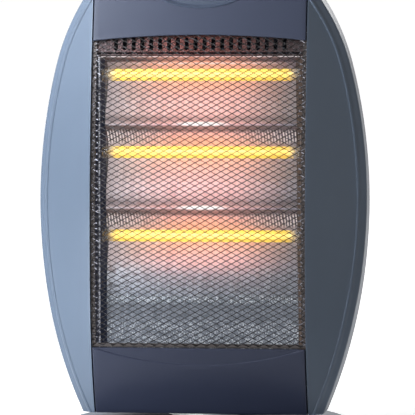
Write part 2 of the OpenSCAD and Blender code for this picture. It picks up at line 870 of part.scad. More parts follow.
// Height above the floor of a tube's axis, from its height in the reflector's frame
function height_on_head(h) = rim_z - tube_deep * sin(reflector_tilt) + h * cos(reflector_tilt);

module wiring_right() {
    wiring();
}

module wiring_left() {
    mirror([1, 0, 0]) wiring();
}

// Leads between the neck and the two terminal blocks
module wiring_neck() {
    color("white") {
        translate([-block_mid, lead_y, lead_z]) rotate([0, 90, 0])
            cylinder(r = wire_r, h = 2 * block_mid, $fn = ROUND);
        for (s = [-1, 1]) {
            translate([s * block_mid, lead_y, lead_z]) sphere(wire_r, $fn = ROUND);
            translate([s * block_mid, lead_y, block_top_z])
                cylinder(r = wire_r, h = lead_z - block_top_z, $fn = ROUND);
        }
        translate([-pivot_bore_r / 2, 0, lead_z]) rotate([90, 0, 0])
            cylinder(r = wire_r, h = -lead_y, $fn = ROUND);
        translate([-pivot_bore_r / 2, 0, lead_z]) sphere(wire_r, $fn = ROUND);
        translate([-pivot_bore_r / 2, 0, nut_z]) cylinder(r = wire_r, h = lead_z - nut_z, $fn = ROUND);
    }
}

module terminal_blocks() {
    color("ivory") for (s = [-1, 1]) difference() {
        translate([s * block_mid - block_w / 2, block_y, swivel_z]) cube([block_w, block_l, block_h]);
        for (i = [0:2]) translate([s * block_mid, block_y + block_hole_at + i * block_pitch,
            block_top_z - block_hole_deep]) cylinder(r = block_hole_r, h = block_hole_deep + 1, $fn = ROUND);
    }
}

// Overheat switch on the right-hand bracket
module thermal_cutout() {
    color("black") reflector_frame() {
        translate([post_x + 0.5, bracket_back - bracket_t, cutout_height]) rotate([90, 0, 0])
            cylinder(r = 6, h = 7);
        translate([post_x + 0.5, bracket_back - bracket_t - 7, cutout_height]) rotate([90, 0, 0])
            cylinder(r = 3.5, h = 3);
    }
}

module switch_housings() {
    color("black") control_frame() for (i = [-1:1]) translate([i * switch_pitch, 0, 0]) difference() {
        union() {
            translate([-rocker_w / 2 - bezel_w, control_deep - bezel_h, -rocker_h / 2 - bezel_w])
                cube([rocker_w + 2 * bezel_w, bezel_h, rocker_h + 2 * bezel_w]);
            translate([-rocker_w / 2 - housing_wall, control_deep - bezel_h, -rocker_h / 2 - housing_wall])
                cube([rocker_w + 2 * housing_wall, housing_l, rocker_h + 2 * housing_wall]);
        }
        translate([-rocker_w / 2, control_deep - bezel_h - 1, -rocker_h / 2])
            cube([rocker_w, housing_l - housing_wall + 1, rocker_h]);
        translate([-rocker_w, control_deep + pivot_deep, 0]) rotate([0, 90, 0])
            cylinder(r = pin_r + turn_fit, h = 2 * rocker_w);
    }
}

// Rocker of the switch at place i, pressed at its lower end
module rocker(i) {
    half = rocker_h / 2 - 0.9;
    half_w = (rocker_w - 0.6) / 2;
    control_frame() translate([i * switch_pitch, control_deep + pivot_deep, 0]) rotate([rocker_lean, 0, 0]) {
        translate([-half_w, 0, 0]) rotate([90, 0, 90]) linear_extrude(2 * half_w)
            polygon([[-4.6, half], [-3.2, 0], [-4.6, -half], [1, -half], [4, -half / 2],
                [4, half / 2], [1, half]]);
        translate([-half_w - housing_wall, 0, 0]) rotate([0, 90, 0])
            cylinder(r = pin_r, h = 2 * (half_w + housing_wall));
    }
}

module rocker_low() {
    color("black") rocker(-1);
}

module rocker_high() {
    color("black") rocker(0);
}

module rocker_swing() {
    color("black") rocker(1);
}

// Steel plate in the head's floor that takes the swivel's load
module swivel_plate() {
    color("silver") difference() {
        translate([-plate_half_w, plate_y0, swivel_z])
            cube([2 * plate_half_w, plate_y1 - plate_y0, swivel_t]);
        translate([0, 0, swivel_z - 1]) cylinder(r = neck_r + HAIR, h = swivel_t + 2);
        collar_screws(swivel_z - 1, swivel_t + 2, SCREW_HOLE_R);
        for (p = bridge_screw_places) translate([p.x, p.y, swivel_z - 1])
            cylinder(r = PILOT_R, h = swivel_t + 2, $fn = ROUND);
    }
}

// A round bar at each place of the screws that hold the collar under the head
module collar_screws(z, h, r) {
    for (a = QUARTERS) rotate([0, 0, a]) translate([collar_screw_at, 0, z])
        cylinder(r = r, h = h, $fn = ROUND);
}

module swivel_bush() {
    color("ivory") difference() {
        union() {
            translate([0, 0, collar_z]) cylinder(r = collar_r, h = head_bottom_z - collar_z);
            translate([0, 0, collar_z]) cylinder(r = neck_r, h = bush_top_z - collar_z);
        }
        translate([0, 0, collar_z - 1]) cylinder(r = pivot_r + turn_fit, h = bush_top_z - collar_z + 2);
        collar_screws(collar_z + collar_skin, head_bottom_z - collar_z, PILOT_R);
    }
}

module swing_motor() {
    color("gray") translate([crank_at, 0, motor_z]) difference() {
        union() {
            cylinder(r = motor_r, h = motor_h);
            translate([0, 0, -gear_boss_h]) cylinder(r = gear_boss_r, h = gear_boss_h);
        }
        translate([0, 0, -gear_boss_h - 1]) cylinder(r = shaft_r + turn_fit, h = gear_boss_h + shaft_in + 2);
    }
}

// Bridge over the slotted arm, carrying the motor
module motor_bridge() {
    color("silver") difference() {
        union() {
            translate([bridge_in, -bridge_half_w, motor_z - bridge_t])
                cube([bridge_out - bridge_in, 2 * bridge_half_w, bridge_t]);
            for (x = [bridge_in, bridge_out - bridge_t]) translate([x, -bridge_half_w, swivel_z + swivel_t])
                cube([bridge_t, 2 * bridge_half_w, motor_z - swivel_z - swivel_t]);
            for (x = [bridge_in - bridge_foot, bridge_out - bridge_t])
                translate([x, -bridge_half_w, swivel_z + swivel_t])
                    cube([bridge_foot + bridge_t, 2 * bridge_half_w, bridge_t]);
        }
        translate([crank_at, 0, motor_z - bridge_t - 1]) cylinder(r = gear_boss_r + HAIR, h = bridge_t + 2);
        for (p = bridge_screw_places) translate([p.x, p.y, swivel_z])
            cylinder(r = SCREW_HOLE_R, h = 10, $fn = ROUND);
    }
}

module swing_crank() {
    color("ivory") {
        translate([crank_at, 0, crank_z]) cylinder(r = crank_r, h = crank_t);
        translate([crank_at, 0, crank_z]) cylinder(r = shaft_r, h = motor_z + shaft_in - crank_z);
        translate([crank_at + crank_throw, 0, arm_z + STEP])
            cylinder(r = crank_pin_r, h = crank_z - arm_z - STEP, $fn = ROUND);
    }
}

module upright_screw(x, y, z, l) {
    translate([x, y, z]) rotate([-90, 0, 0]) screw(l);
}

module drive_screws() {
    color("silver") {
        for (p = bridge_screw_places)
            upright_screw(p.x, p.y, swivel_z + swivel_t + bridge_t, bridge_t + swivel_t);
        for (a = QUARTERS) upright_screw(collar_screw_at * cos(a), collar_screw_at * sin(a),
            swivel_z + swivel_t, swivel_z + swivel_t - collar_z - collar_skin - 0.2);
    }
}

module thrust_washer() {
    color("black") difference() {
        translate([0, 0, base_top_z]) cylinder(r = washer_r, h = washer_h);
        translate([0, 0, base_top_z - 1]) cylinder(r = pivot_r + STEP, h = washer_h + 2);
    }
}

// Hollow shaft that the head turns on, with the wires inside
module pivot_tube() {
    color("silver") difference() {
        union() {
            translate([0, 0, pivot_flange_z]) cylinder(r = pivot_flange_r, h = pivot_flange_t);
            translate([0, 0, pivot_flange_z]) cylinder(r = pivot_r, h = pivot_top_z - pivot_flange_z);
        }
        translate([0, 0, pivot_flange_z - 1]) cylinder(r = pivot_bore_r, h = pivot_top_z);
    }
}

module pivot_nut() {
    color("silver") difference() {
        translate([0, 0, nut_z]) cylinder(r = hub_r, h = nut_h, $fn = 6);
        translate([0, 0, nut_z - 1]) cylinder(r = pivot_r + HAIR, h = nut_h + 2);
    }
}

// Arm on the pivot tube, with the slot that the crank's pin pushes against
module swing_arm() {
    color("silver") difference() {
        union() {
            translate([0, 0, arm_z]) cylinder(r = hub_r, h = arm_t);
            translate([0, -arm_half_w, arm_z]) cube([slot_end + arm_tip, 2 * arm_half_w, arm_t]);
        }
        translate([0, 0, arm_z - 1]) cylinder(r = pivot_r + HAIR, h = arm_t + 2);
        translate([slot_from, -slot_half_w, arm_z - 1])
            cube([slot_end - slot_from, 2 * slot_half_w, arm_t + 2]);
    }
}

// Half section of the base, drawn in by o: flat foot, rounded shoulder and a gentle rise to the hub
function base_section(o) = let (
    low = plate_z - (o > 0 ? 1 : 0),
    top_r = base_r - base_round - 8,
    hub = pivot_flange_r + 10,
    rise = base_top_z - shoulder_z - base_lip) concat(
    [[0, low], [base_r - o, low]],
    [for (a = [0:10.5:84]) [base_r - base_round, shoulder_z - base_round]
        + (base_round - o) * [cos(a), sin(a)]],
    [for (k = [0:0.2:1]) [top_r - (top_r - hub) * k, shoulder_z + base_lip - o + rise * sin(90 * k)]],
    [[0, base_top_z - o]]);

module base_body(o) {
    rotate_extrude($fn = 2 * $fn) polygon(base_section(o));
}

// An upright bar at each place of the base's screws
module base_screw_bars(z, h, r) {
    for (a = QUARTERS) rotate([0, 0, a]) translate([base_screw_at, 0, z]) cylinder(r = r, h = h, $fn = ROUND);
}

module base_cover() {
    color("darkgray") difference() {
        union() {
            difference() {
                base_body(0);
                base_body(wall);
            }
            translate([0, 0, pivot_flange_z + pivot_flange_t])
                cylinder(r = hub_r, h = base_top_z - wall / 2 - pivot_flange_z - pivot_flange_t);
            intersection() {
                base_body(wall / 2);
                base_screw_bars(pivot_flange_z, base_top_z, BOSS_R);
            }
        }
        translate([0, 0, plate_z]) cylinder(r = pivot_r + STEP, h = base_top_z);
        base_screw_bars(plate_z, base_screw_l + 2, PILOT_R);
        translate([0, base_r + 1, inlet_z]) rotate([90, 0, 0]) cylinder(r = inlet_r + HAIR, h = 2 * wall);
    }
}

module foot_places() {
    for (a = [18:72:306]) rotate([0, 0, a]) translate([foot_at, 0, 0]) children();
}

module base_plate() {
    color("silver") difference() {
        translate([0, 0, plate_z]) cylinder(r = base_r - wall - 1, h = base_plate_t, $fn = 2 * $fn);
        foot_places() cylinder(r = stud_r + HAIR, h = base_top_z, $fn = ROUND);
        base_screw_bars(plate_z - 1, base_plate_t + 2, SCREW_HOLE_R);
        translate([0, 0, plate_z - 1]) cylinder(r = pivot_bore_r, h = base_plate_t + 2);
        translate([tilt_at.x, tilt_at.y, 0]) cylinder(r = tilt_r + turn_fit, h = base_top_z);
    }
}

module base_feet() {
    color("black") foot_places() {
        cylinder(r = foot_r, h = plate_z);
        cylinder(r = stud_r, h = plate_z + base_plate_t + 1, $fn = ROUND);
    }
}

module base_screws() {
    color("silver") {
        base_screw_bars(plate_z - base_screw_head, base_screw_head, SCREW_HEAD_R);
        base_screw_bars(plate_z, base_screw_l, SCREW_R);
    }
}

// Switch that cuts the current when the heater is lifted or falls over, with the hollow for its plunger
module tilt_switch() {
    color("black") difference() {
        translate([tilt_at.x, tilt_at.y, pivot_flange_z + tilt_h / 2])
            cube([tilt_box.x, tilt_box.y, tilt_h], center = true);
        translate([tilt_at.x, tilt_at.y, plate_z]) cylinder(r = tilt_r + turn_fit, h = tilt_rod_l + STEP);
        translate([tilt_at.x, tilt_at.y, pivot_flange_z + STEP])
            cylinder(r = tilt_hollow_r, h = tilt_hollow_h);
    }
}

module tilt_plunger() {
    color("white") translate([tilt_at.x, tilt_at.y, 0]) {
        translate([0, 0, STEP]) cylinder(r = tilt_r, h = tilt_rod_l);
        translate([0, 0, pivot_flange_z + tilt_travel + 2 * STEP])
            cylinder(r = tilt_r + tilt_collar, h = tilt_collar_h);
    }
}

// Bush at the back of the base where the supply lead goes in
module cord_grommet() {
    color("black") translate([0, base_r, inlet_z]) rotate([90, 0, 0]) difference() {
        union() {
            translate([0, 0, HAIR]) cylinder(r = inlet_r, h = wall + 2 * STEP);
            translate([0, 0, wall + 2 * STEP]) cylinder(r = inlet_r + inlet_lip, h = inlet_r / 2);
        }
        translate([0, 0, -1]) cylinder(r = inlet_bore_r, h = 4 * wall);
    }
}

top_panel();
control_panel();
bottom_panel();
side_cover_left();
side_cover_right();
rear_cover();
handle_cup();
guard_net();
guard_frame();
reflector();
quartz_tubes();
filaments();
ceramic_caps();
tube_terminals();
tube_bracket_left();
tube_bracket_right();
bracket_screws();
wiring_left();
wiring_right();
wiring_neck();
terminal_blocks();
thermal_cutout();
switch_housings();
rocker_low();
rocker_high();
rocker_swing();
rear_screws();
swivel_plate();
swivel_bush();
swing_motor();
motor_bridge();
swing_crank();
drive_screws();
thrust_washer();
pivot_tube();
pivot_nut();
swing_arm();
base_cover();
base_plate();
base_feet();
base_screws();
tilt_switch();
tilt_plunger();
cord_grommet();
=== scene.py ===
"""Halogen heater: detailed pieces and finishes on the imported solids. Sizes in millimetres, objects in metres."""

from contextlib import contextmanager
import math

import bmesh
import bpy
from mathutils import Matrix, Quaternion, Vector


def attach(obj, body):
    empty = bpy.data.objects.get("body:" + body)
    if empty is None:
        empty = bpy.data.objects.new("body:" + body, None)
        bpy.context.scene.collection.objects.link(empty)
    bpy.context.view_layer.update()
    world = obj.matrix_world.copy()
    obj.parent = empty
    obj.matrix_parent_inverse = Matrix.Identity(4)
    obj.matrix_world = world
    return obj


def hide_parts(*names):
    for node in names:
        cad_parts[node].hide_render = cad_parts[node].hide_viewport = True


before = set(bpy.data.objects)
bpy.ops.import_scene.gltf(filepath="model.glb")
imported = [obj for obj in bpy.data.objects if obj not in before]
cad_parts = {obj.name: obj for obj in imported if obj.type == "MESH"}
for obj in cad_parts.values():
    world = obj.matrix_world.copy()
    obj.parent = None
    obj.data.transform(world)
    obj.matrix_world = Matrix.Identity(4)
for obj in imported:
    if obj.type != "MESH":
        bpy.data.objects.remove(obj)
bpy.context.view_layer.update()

MM = 0.001
bpy.context.scene.view_settings.view_transform = "Standard"

# ------------------------ sizes, as in the solids

HALF_COLUMN = 106.0             # half width of the panels between the covers
COVER_X = 107.0                 # inner edge of the covers
SPLIT_Y, SEAM = -2.0, 0.03      # front pieces and rear cover meet here, each held back by the seam
FLOOR_Z = 38.0                  # underside of the head
WIDEST_Z = 250.0
SIDE_R, SHOULDER_R = 540.0, 213.0
SHOULDER_FROM, SHOULDER_TO = math.radians(14.3), math.radians(50)
SIDE_C = (164 - SIDE_R, WIDEST_Z)
SHOULDER_C = (SIDE_C[0] + (SIDE_R - SHOULDER_R) * math.cos(SHOULDER_FROM),
              SIDE_C[1] + (SIDE_R - SHOULDER_R) * math.sin(SHOULDER_FROM))
CROWN_CUT = -SHOULDER_C[0] / math.cos(SHOULDER_TO)
CROWN_C = (0.0, SHOULDER_C[1] + CROWN_CUT * math.sin(SHOULDER_TO))
CROWN_R = SHOULDER_R - CROWN_CUT
ARCS = ((SIDE_C, SIDE_R, SHOULDER_FROM, 26), (SHOULDER_C, SHOULDER_R, SHOULDER_TO, 22),
        (CROWN_C, CROWN_R, math.pi / 2, 26))    # the right half's centres, radii, last angles and steps
FRONT_Y, WAIST_Z = -60.0, 150.0                 # where the front is furthest forward
FRONT_R, FRONT_R_LOW = 1250.0, 330.0            # its curve above and below the waist
BACK_Y, BACK_Z = 50.0, 270.0                    # where the back is furthest back
BACK_R_UP, BACK_R_ACROSS = 1500.0, 321.0
COVER_SLOPE = math.radians(32)
TOP_PANEL_Z, TOP_ARCH_R, TOP_TURN = 413.0, 1024.0, 2.4     # lower edge, and how it turns over at the crown
LOW_PANEL_Z, CRESCENT_DROP, CRESCENT_DEEP, CRESCENT_FADE = 105.0, 17.0, 1.3, 8.0
CONTROL_Z, CONTROL_W, CONTROL_H, CONTROL_DEEP = 475.0, 60.0, 36.0, 5.0
SWITCH_PITCH = 32.0
SWITCH_HOLE_W, SWITCH_HOLE_H = 7.6, 11.1        # half sizes, round the switch housings
SHEET_Y, SHEET_Z, SHEET_LEAN = -36.5, 249.5, math.radians(-3)
RIM_HALF_W, RIM_HALF_H = 100.0, 143.5
RIDGE_DEEP, TROUGH_DEEP = 10.0, 38.0            # behind the rim's plane
CREASE = -100.0                                 # the flat part starts here, under the lowest trough
TUBES = (124.3, 47.7, -35.1)                    # heights from the middle of the sheet
TUBE_DEEP, TUBE_R, TUBE_HALF, GLOW_HALF = 12.0, 6.0, 110.0, 94.0
HANDLE_Z, HANDLE_W, HANDLE_H, HANDLE_CORNER_R = 462.0, 112.0, 30.0, 12.0
NOTCH_R = 14.3                                  # room for the swivel in the head's floor
BASE_R, BASE_SHOULDER_R, BASE_HUB_R, BASE_RIM_R = 150.0, 131.0, 34.0, 11.0
BASE_RIM_Z, BASE_CROWN_Z, BASE_TOP_Z = 14.0, 25.6, 33.0
INLET_R, INLET_Z = 5.1, 10.5
SCREWS = [(138, 165), (138, 335), (78, 448), (88, 62)]      # across and up, at both sides

# walls
COVER_WALL, TOP_WALL, LOW_WALL, REAR_WALL, BASE_WALL = 2.2, 2.3, 2.2, 2.4, 2.2
DISH_WALL, SHEET_WALL, FLANGE_WALL = 1.8, 0.8, 0.9


def between(a, b, n):
    """Places from a to b in n equal steps, with both ends."""
    return [a + (b - a) * i / n for i in range(n + 1)]


def front_radius(z):
    return FRONT_R if z > WAIST_Z else FRONT_R_LOW


def front_at(z):
    """Depth of the front's curve at a height."""
    r = front_radius(z)
    return FRONT_Y + r - math.sqrt(r * r - (z - WAIST_Z) ** 2)


def back_at(x, z):
    """Depth of the rear cover's double curve."""
    across = BACK_R_UP - BACK_R_ACROSS + math.sqrt(BACK_R_ACROSS ** 2 - x * x)
    return BACK_Y - BACK_R_UP + math.sqrt(across ** 2 - (z - BACK_Z) ** 2)


def slant_at(x, z):
    """Depth of a side cover's slanted face."""
    k = math.cos(COVER_SLOPE)
    r = front_radius(z) / k
    return FRONT_Y + (x - COVER_X) * math.tan(COVER_SLOPE) + (r - math.sqrt(r * r - (z - WAIST_Z) ** 2)) / k


def half_width(z, inset=0.0):
    """Half width of the head's outline at a height, drawn in by an inset; 0 above its top."""
    for (cx, cz), r, upto, _ in ARCS:
        r -= inset
        if z <= cz + r * math.sin(upto):
            return cx + math.sqrt(max(r * r - (z - cz) ** 2, 0))
    return 0.0


def top_at(x):
    """Height of the outline over a place across."""
    c, r = (CROWN_C, CROWN_R) if abs(x) < CROWN_R * math.cos(SHOULDER_TO) else (SHOULDER_C, SHOULDER_R)
    return c[1] + math.sqrt(r * r - (abs(x) - c[0]) ** 2)


def outline(inset):
    """The head's outline as a closed loop, counter-clockwise from the right-hand foot, as x and z."""
    low = FLOOR_Z + inset
    start, right = -math.asin((WIDEST_Z - low) / (SIDE_R - inset)), []
    for (cx, cz), r, upto, n in ARCS:
        right += [(cx + (r - inset) * math.cos(a), cz + (r - inset) * math.sin(a))
                  for a in between(start, upto, n)[:-1]]
        start = upto
    crown = [(0.0, CROWN_C[1] + CROWN_R - inset)]
    left = [(-x, z) for x, z in reversed(right)]
    foot = [(x, low) for x in between(left[-1][0], right[0][0], 24)[1:-1]]
    return right + crown + left + foot


REFLECTOR = Matrix.Translation((0, SHEET_Y, SHEET_Z)) @ Matrix.Rotation(SHEET_LEAN, 4, "X")
CONTROL = (Matrix.Translation((0, front_at(CONTROL_Z), CONTROL_Z))
           @ Matrix.Rotation(-math.asin((CONTROL_Z - WAIST_Z) / FRONT_R), 4, "X"))


# ------------------------ shader and node maths

class Socket:
    """A value in a node tree. Arithmetic on it adds Math nodes."""

    def __init__(self, graph, link):
        self.graph, self.link = graph, link

    def _math(self, operation, *values):
        return self.graph.add("ShaderNodeMath", {"operation": operation}, values)

    def __add__(self, o): return self._math("ADD", self, o)
    def __radd__(self, o): return self._math("ADD", o, self)
    def __sub__(self, o): return self._math("SUBTRACT", self, o)
    def __rsub__(self, o): return self._math("SUBTRACT", o, self)
    def __mul__(self, o): return self._math("MULTIPLY", self, o)
    def __rmul__(self, o): return self._math("MULTIPLY", o, self)
    def __truediv__(self, o): return self._math("DIVIDE", self, o)
    def __rtruediv__(self, o): return self._math("DIVIDE", o, self)
    def __mod__(self, o): return self._math("MODULO", self, o)
    def __rmod__(self, o): return self._math("MODULO", o, self)
    def __abs__(self): return self._math("ABSOLUTE", self)
    def __gt__(self, o): return self._math("GREATER_THAN", self, o)
    def __lt__(self, o): return self._math("LESS_THAN", self, o)

    def sine(self): return self._math("SINE", self)
    def root(self): return self._math("SQRT", self)
    def floor(self): return self._math("FLOOR", self)

    def band(self, low, high):
        """0 up to low and 1 from high on, with a soft start and end."""
        return self.graph.add("ShaderNodeMapRange", {"interpolation_type": "SMOOTHSTEP"},
                              {"Value": self, "From Min": low, "From Max": high})

    def until(self, low, high):
        """1 up to low and 0 from high on."""
        return 1 - self.band(low, high)

    def near(self, centre, full, none):
        """1 as far as `full` from the centre, and 0 from `none` on."""
        return abs(self - centre).until(full, none)


class Graph:
    """A node tree under construction."""

    def __init__(self, tree):
        self.tree = tree

    def add(self, kind, settings=None, values=(), output=0):
        """A node: first its settings, or a ramp's two stops, then the values or links of its sockets."""
        node = self.tree.nodes.new(kind)
        for key, value in (settings or {}).items():
            if key == "stops":
                for element, (position, colour) in zip(node.color_ramp.elements, value):
                    element.position, element.color = position, (*colour, 1)
            else:
                setattr(node, key, value)
        for key, value in values.items() if isinstance(values, dict) else enumerate(values):
            for each in value if isinstance(value, list) else [value]:
                self.put(node.inputs[key], each)
        return Socket(self, node.outputs[output]) if len(node.outputs) else None

    def put(self, socket, value):
        """Links a value or sets it; a colour of three numbers gets its alpha."""
        if isinstance(value, Socket):
            self.tree.links.new(value.link, socket)
        elif socket.type == "RGBA" and len(value) == 3:
            socket.default_value = (*value, 1)
        else:
            socket.default_value = value

    def split(self, vector):
        first = self.add("ShaderNodeSeparateXYZ", None, [vector])
        return [Socket(self, output) for output in first.link.node.outputs]

    def ramp(self, factor, *stops):
        return self.add("ShaderNodeValToRGB", {"stops": stops}, [factor])

    def mix(self, factor, a, b):
        """Colour a at 0 and colour b at 1."""
        return self.add("ShaderNodeMix", {"data_type": "RGBA"}, {0: factor, 6: a, 7: b}, 2)

    def layers(self, colour, *coats):
        """The colour under coats of paint, each given as a mask and a colour."""
        for mask, paint in coats:
            colour = self.mix(mask, colour, paint)
        return colour


def srgb(r, g, b):
    """A colour given as 8-bit display values, as linear light."""
    return tuple((c / 255 / 12.92) if c <= 10 else ((c / 255 + 0.055) / 1.055) ** 2.4 for c in (r, g, b))


class Finish(Graph):
    """A Principled material that is painted in place, from Object coordinates in metres."""

    def __init__(self, name, **constants):
        self.material = bpy.data.materials.new(name)
        self.material.use_nodes = True
        super().__init__(self.material.node_tree)
        self.shader = self.tree.nodes["Principled BSDF"]
        self.place = self.add("ShaderNodeTexCoord", output="Object")
        self.x, self.y, self.z = self.split(self.place)
        self.set(**constants)

    def set(self, **values):
        for key, value in values.items():
            self.put(self.shader.inputs[key.replace("_", " ")], value)

    def turned_back(self):
        """1 on faces that look towards the back, 0 on the others."""
        return self.split(self.add("ShaderNodeTexCoord", output="Normal"))[1].band(0.02, 0.08)

    def stretched(self, x, y, z):
        return self.add("ShaderNodeMapping", None, {"Vector": self.place, "Scale": (x, y, z)})

    def noise(self, scale, detail=3.0, rough=0.5, vector=None):
        return self.add("ShaderNodeTexNoise", None, {
            "Vector": vector or self.place, "Scale": scale, "Detail": detail, "Roughness": rough})

    def cells(self, scale):
        return self.add("ShaderNodeTexVoronoi", {"feature": "F1"}, {"Vector": self.place, "Scale": scale})

    def bump(self, height, depth, strength=1.0):
        self.set(Normal=self.add("ShaderNodeBump", None, {
            "Strength": strength, "Distance": depth, "Height": height}))


def dark_and_light(colour, share):
    return tuple(c * (1 - share) for c in colour), tuple(min(c * (1 + share), 1) for c in colour)


def moulded(name, colour, roughness, grain=0.00004, coat=0.0, mottle=0.06):
    """Injection-moulded plastic: fine spark-eroded grain, faint clouding and rubbed, shinier patches."""
    f = Finish(name, Coat_Weight=coat, Coat_Roughness=0.25, Specular_IOR_Level=0.25)
    cloud = f.noise(9, 4, 0.6)
    speck = f.noise(2600, 2, 0.6)
    rub = f.noise(38, 5, 0.65).band(0.52, 0.72)
    dark, light = dark_and_light(colour, mottle)
    f.set(Base_Color=f.ramp(cloud * 0.75 + speck * 0.25, (0.3, dark), (0.7, light)))
    f.set(Roughness=roughness + (speck - 0.5) * 0.12 - rub * 0.05)
    f.bump(speck * 0.7 + f.noise(900, 2) * 0.3, grain)
    return f.material


def metal(name, colour, roughness, brushed=(40, 40, 40), mottle=0.08):
    """Sheet steel or brass: rolled lines one way, spangle and light handling marks."""
    f = Finish(name, Metallic=1.0)
    lines = f.noise(60, 4, 0.6, f.stretched(*brushed))
    marks = f.noise(30, 5, 0.7).band(0.5, 0.8)
    dark, light = dark_and_light(colour, mottle)
    f.set(Base_Color=f.ramp(lines * 0.6 + f.cells(160) * 20, (0.25, dark), (0.8, light)))
    f.set(Roughness=roughness + (lines - 0.5) * 0.16 + marks * 0.08)
    f.bump(lines, 0.00003)
    return f.material


# ------------------------ points and curves

ALONG_X, ALONG_Y, ALONG_Z = 0, 1, 2


def smooth(a, b, x):
    """0 at a and 1 at b, with a soft start and end."""
    t = min(max((x - a) / (b - a), 0), 1)
    return t * t * (3 - 2 * t)


def bend(p0, p1, p2, t):
    """A point on the curve from p0 to p2 that is drawn towards p1."""
    return tuple((1 - t) ** 2 * a + 2 * t * (1 - t) * b + t * t * c for a, b, c in zip(p0, p1, p2))


def turned(axis, profile, centre=(0, 0), n=32):
    """Round rings along an axis, one for each radius and place in the profile."""
    rings = []
    for r, along in profile:
        ring = []
        for i in range(n):
            a = 2 * math.pi * i / n
            point = [centre[0] + r * math.cos(a), centre[1] + r * math.sin(a)]
            point.insert(axis, along)
            ring.append(point)
        rings.append(ring)
    return rings


def ellipse_ring(a, b, y, n=96):
    return [(a * math.cos(2 * math.pi * i / n), y, b * math.sin(2 * math.pi * i / n)) for i in range(n)]


def round_box_ring(half_w, half_h, r, y, z0=0.0, n=8):
    """A rectangle with round corners, at a depth and a height."""
    ring = []
    for k, (sx, sz) in enumerate(((1, 1), (-1, 1), (-1, -1), (1, -1))):
        for i in range(n + 1):
            a = math.pi / 2 * (k + i / n)
            ring.append((sx * (half_w - r) + r * math.cos(a), y, z0 + sz * (half_h - r) + r * math.sin(a)))
    return ring


# ------------------------ mesh helpers

SKIN_MERGE, LOFT_MERGE, LOFT_SPECK = 0.00001, 0.000002, 0.000001    # points this close are one, in metres
THICKEST = 1.5                      # a wall is at most this many times its thickness at a sharp edge


def object_of(name, data):
    made = bpy.data.objects.new(name, data)
    bpy.context.scene.collection.objects.link(made)
    return made


def piece_of(name, points, faces=(), matrix=None):
    """A piece in metres from points in millimetres."""
    mesh = bpy.data.meshes.new(name)
    placed = [(matrix @ Vector(p)) if matrix else Vector(p) for p in points]
    mesh.from_pydata([p * MM for p in placed], [], faces)
    mesh.validate()
    return object_of(name, mesh)


@contextmanager
def edited(piece):
    """Opens the piece's mesh for editing and puts the result back."""
    work = bmesh.new()
    work.from_mesh(piece.data)
    yield work
    work.to_mesh(piece.data)
    work.free()


def settle(piece):
    """Turns the modifiers' result into the piece's plain mesh."""
    plain = bpy.data.meshes.new_from_object(piece.evaluated_get(bpy.context.evaluated_depsgraph_get()))
    piece.modifiers.clear()
    piece.data = plain
    return piece


def finish_piece(piece, material, body, nodes, sharp=32):
    """Dresses a piece, shades it smooth up to an angle in degrees, and joins it to its body."""
    piece.data.materials.clear()
    piece.data.materials.append(material)
    for polygon in piece.data.polygons:
        polygon.material_index = 0
    piece.data.shade_smooth()
    piece.data.set_sharp_from_angle(angle=math.radians(sharp))
    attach(piece, body)
    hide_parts(*nodes)
    return piece


def grid_faces(rows, cols, wrap=False):
    across = cols if wrap else cols - 1
    return [(i * cols + j, i * cols + (j + 1) % cols, (i + 1) * cols + (j + 1) % cols, (i + 1) * cols + j)
            for i in range(rows - 1) for j in range(across)]


def skin(name, rows, wall, towards, wrap=False, pole=None, matrix=None):
    """A sheet through rows of points, with a wall behind it. Its face is turned away from the point `towards`."""
    cols = len(rows[0])
    points = [p for row in rows for p in row]
    faces = grid_faces(len(rows), cols, wrap)
    if pole is not None:
        points.append(pole)
        last = (len(rows) - 1) * cols
        faces += [(last + j, last + (j + 1) % cols, len(points) - 1) for j in range(cols)]
    piece = piece_of(name, points, faces, matrix)
    with edited(piece) as work:
        bmesh.ops.remove_doubles(work, verts=work.verts, dist=SKIN_MERGE)
        bmesh.ops.recalc_face_normals(work, faces=work.faces)
        inside = Vector(towards) * MM
        away = sum(f.normal.dot(f.calc_center_median() - inside) * f.calc_area() for f in work.faces)
        if away < 0:
            bmesh.ops.reverse_faces(work, faces=work.faces)
        work.normal_update()
        outer, rims = list(work.faces), [e for e in work.edges if e.is_boundary]
        behind = {}
        for vert in list(work.verts):
            step = wall * MM * min(vert.calc_shell_factor(), THICKEST)
            behind[vert] = work.verts.new(vert.co - vert.normal * step)
        for face in outer:
            work.faces.new([behind[v] for v in reversed(face.verts)])
        for edge in rims:
            a, b = (loop.vert for loop in (edge.link_loops[0], edge.link_loops[0].link_loop_next))
            work.faces.new([b, a, behind[a], behind[b]])
        bmesh.ops.recalc_face_normals(work, faces=work.faces)
        if work.calc_volume(signed=True) < 0:
            bmesh.ops.reverse_faces(work, faces=work.faces)
    return piece


def loft(name, rings, matrix=None, closed=False):
    """A solid through closed rings of points; its ends are capped unless it closes on itself."""
    cols = len(rings[0])
    points = [p for ring in rings for p in ring]
    faces = grid_faces(len(rings), cols, True)
    if closed:
        last = (len(rings) - 1) * cols
        faces += [(last + j, last + (j + 1) % cols, (j + 1) % cols, j) for j in range(cols)]
    else:
        faces += [tuple(range(cols)), tuple(range(len(points) - cols, len(points)))]
    piece = piece_of(name, points, faces, matrix)
    with edited(piece) as work:
        bmesh.ops.remove_doubles(work, verts=work.verts, dist=LOFT_MERGE)
        bmesh.ops.dissolve_degenerate(work, edges=work.edges, dist=LOFT_SPECK)
        bmesh.ops.recalc_face_normals(work, faces=work.faces)
    return piece


def cut(piece, cutter):
    """Takes a closed cutter out of a closed piece."""
    boolean = piece.modifiers.new("cut", "BOOLEAN")
    boolean.operation, boolean.solver, boolean.object = "DIFFERENCE", "EXACT", cutter
    settle(piece)
    bpy.data.objects.remove(cutter)
    return piece


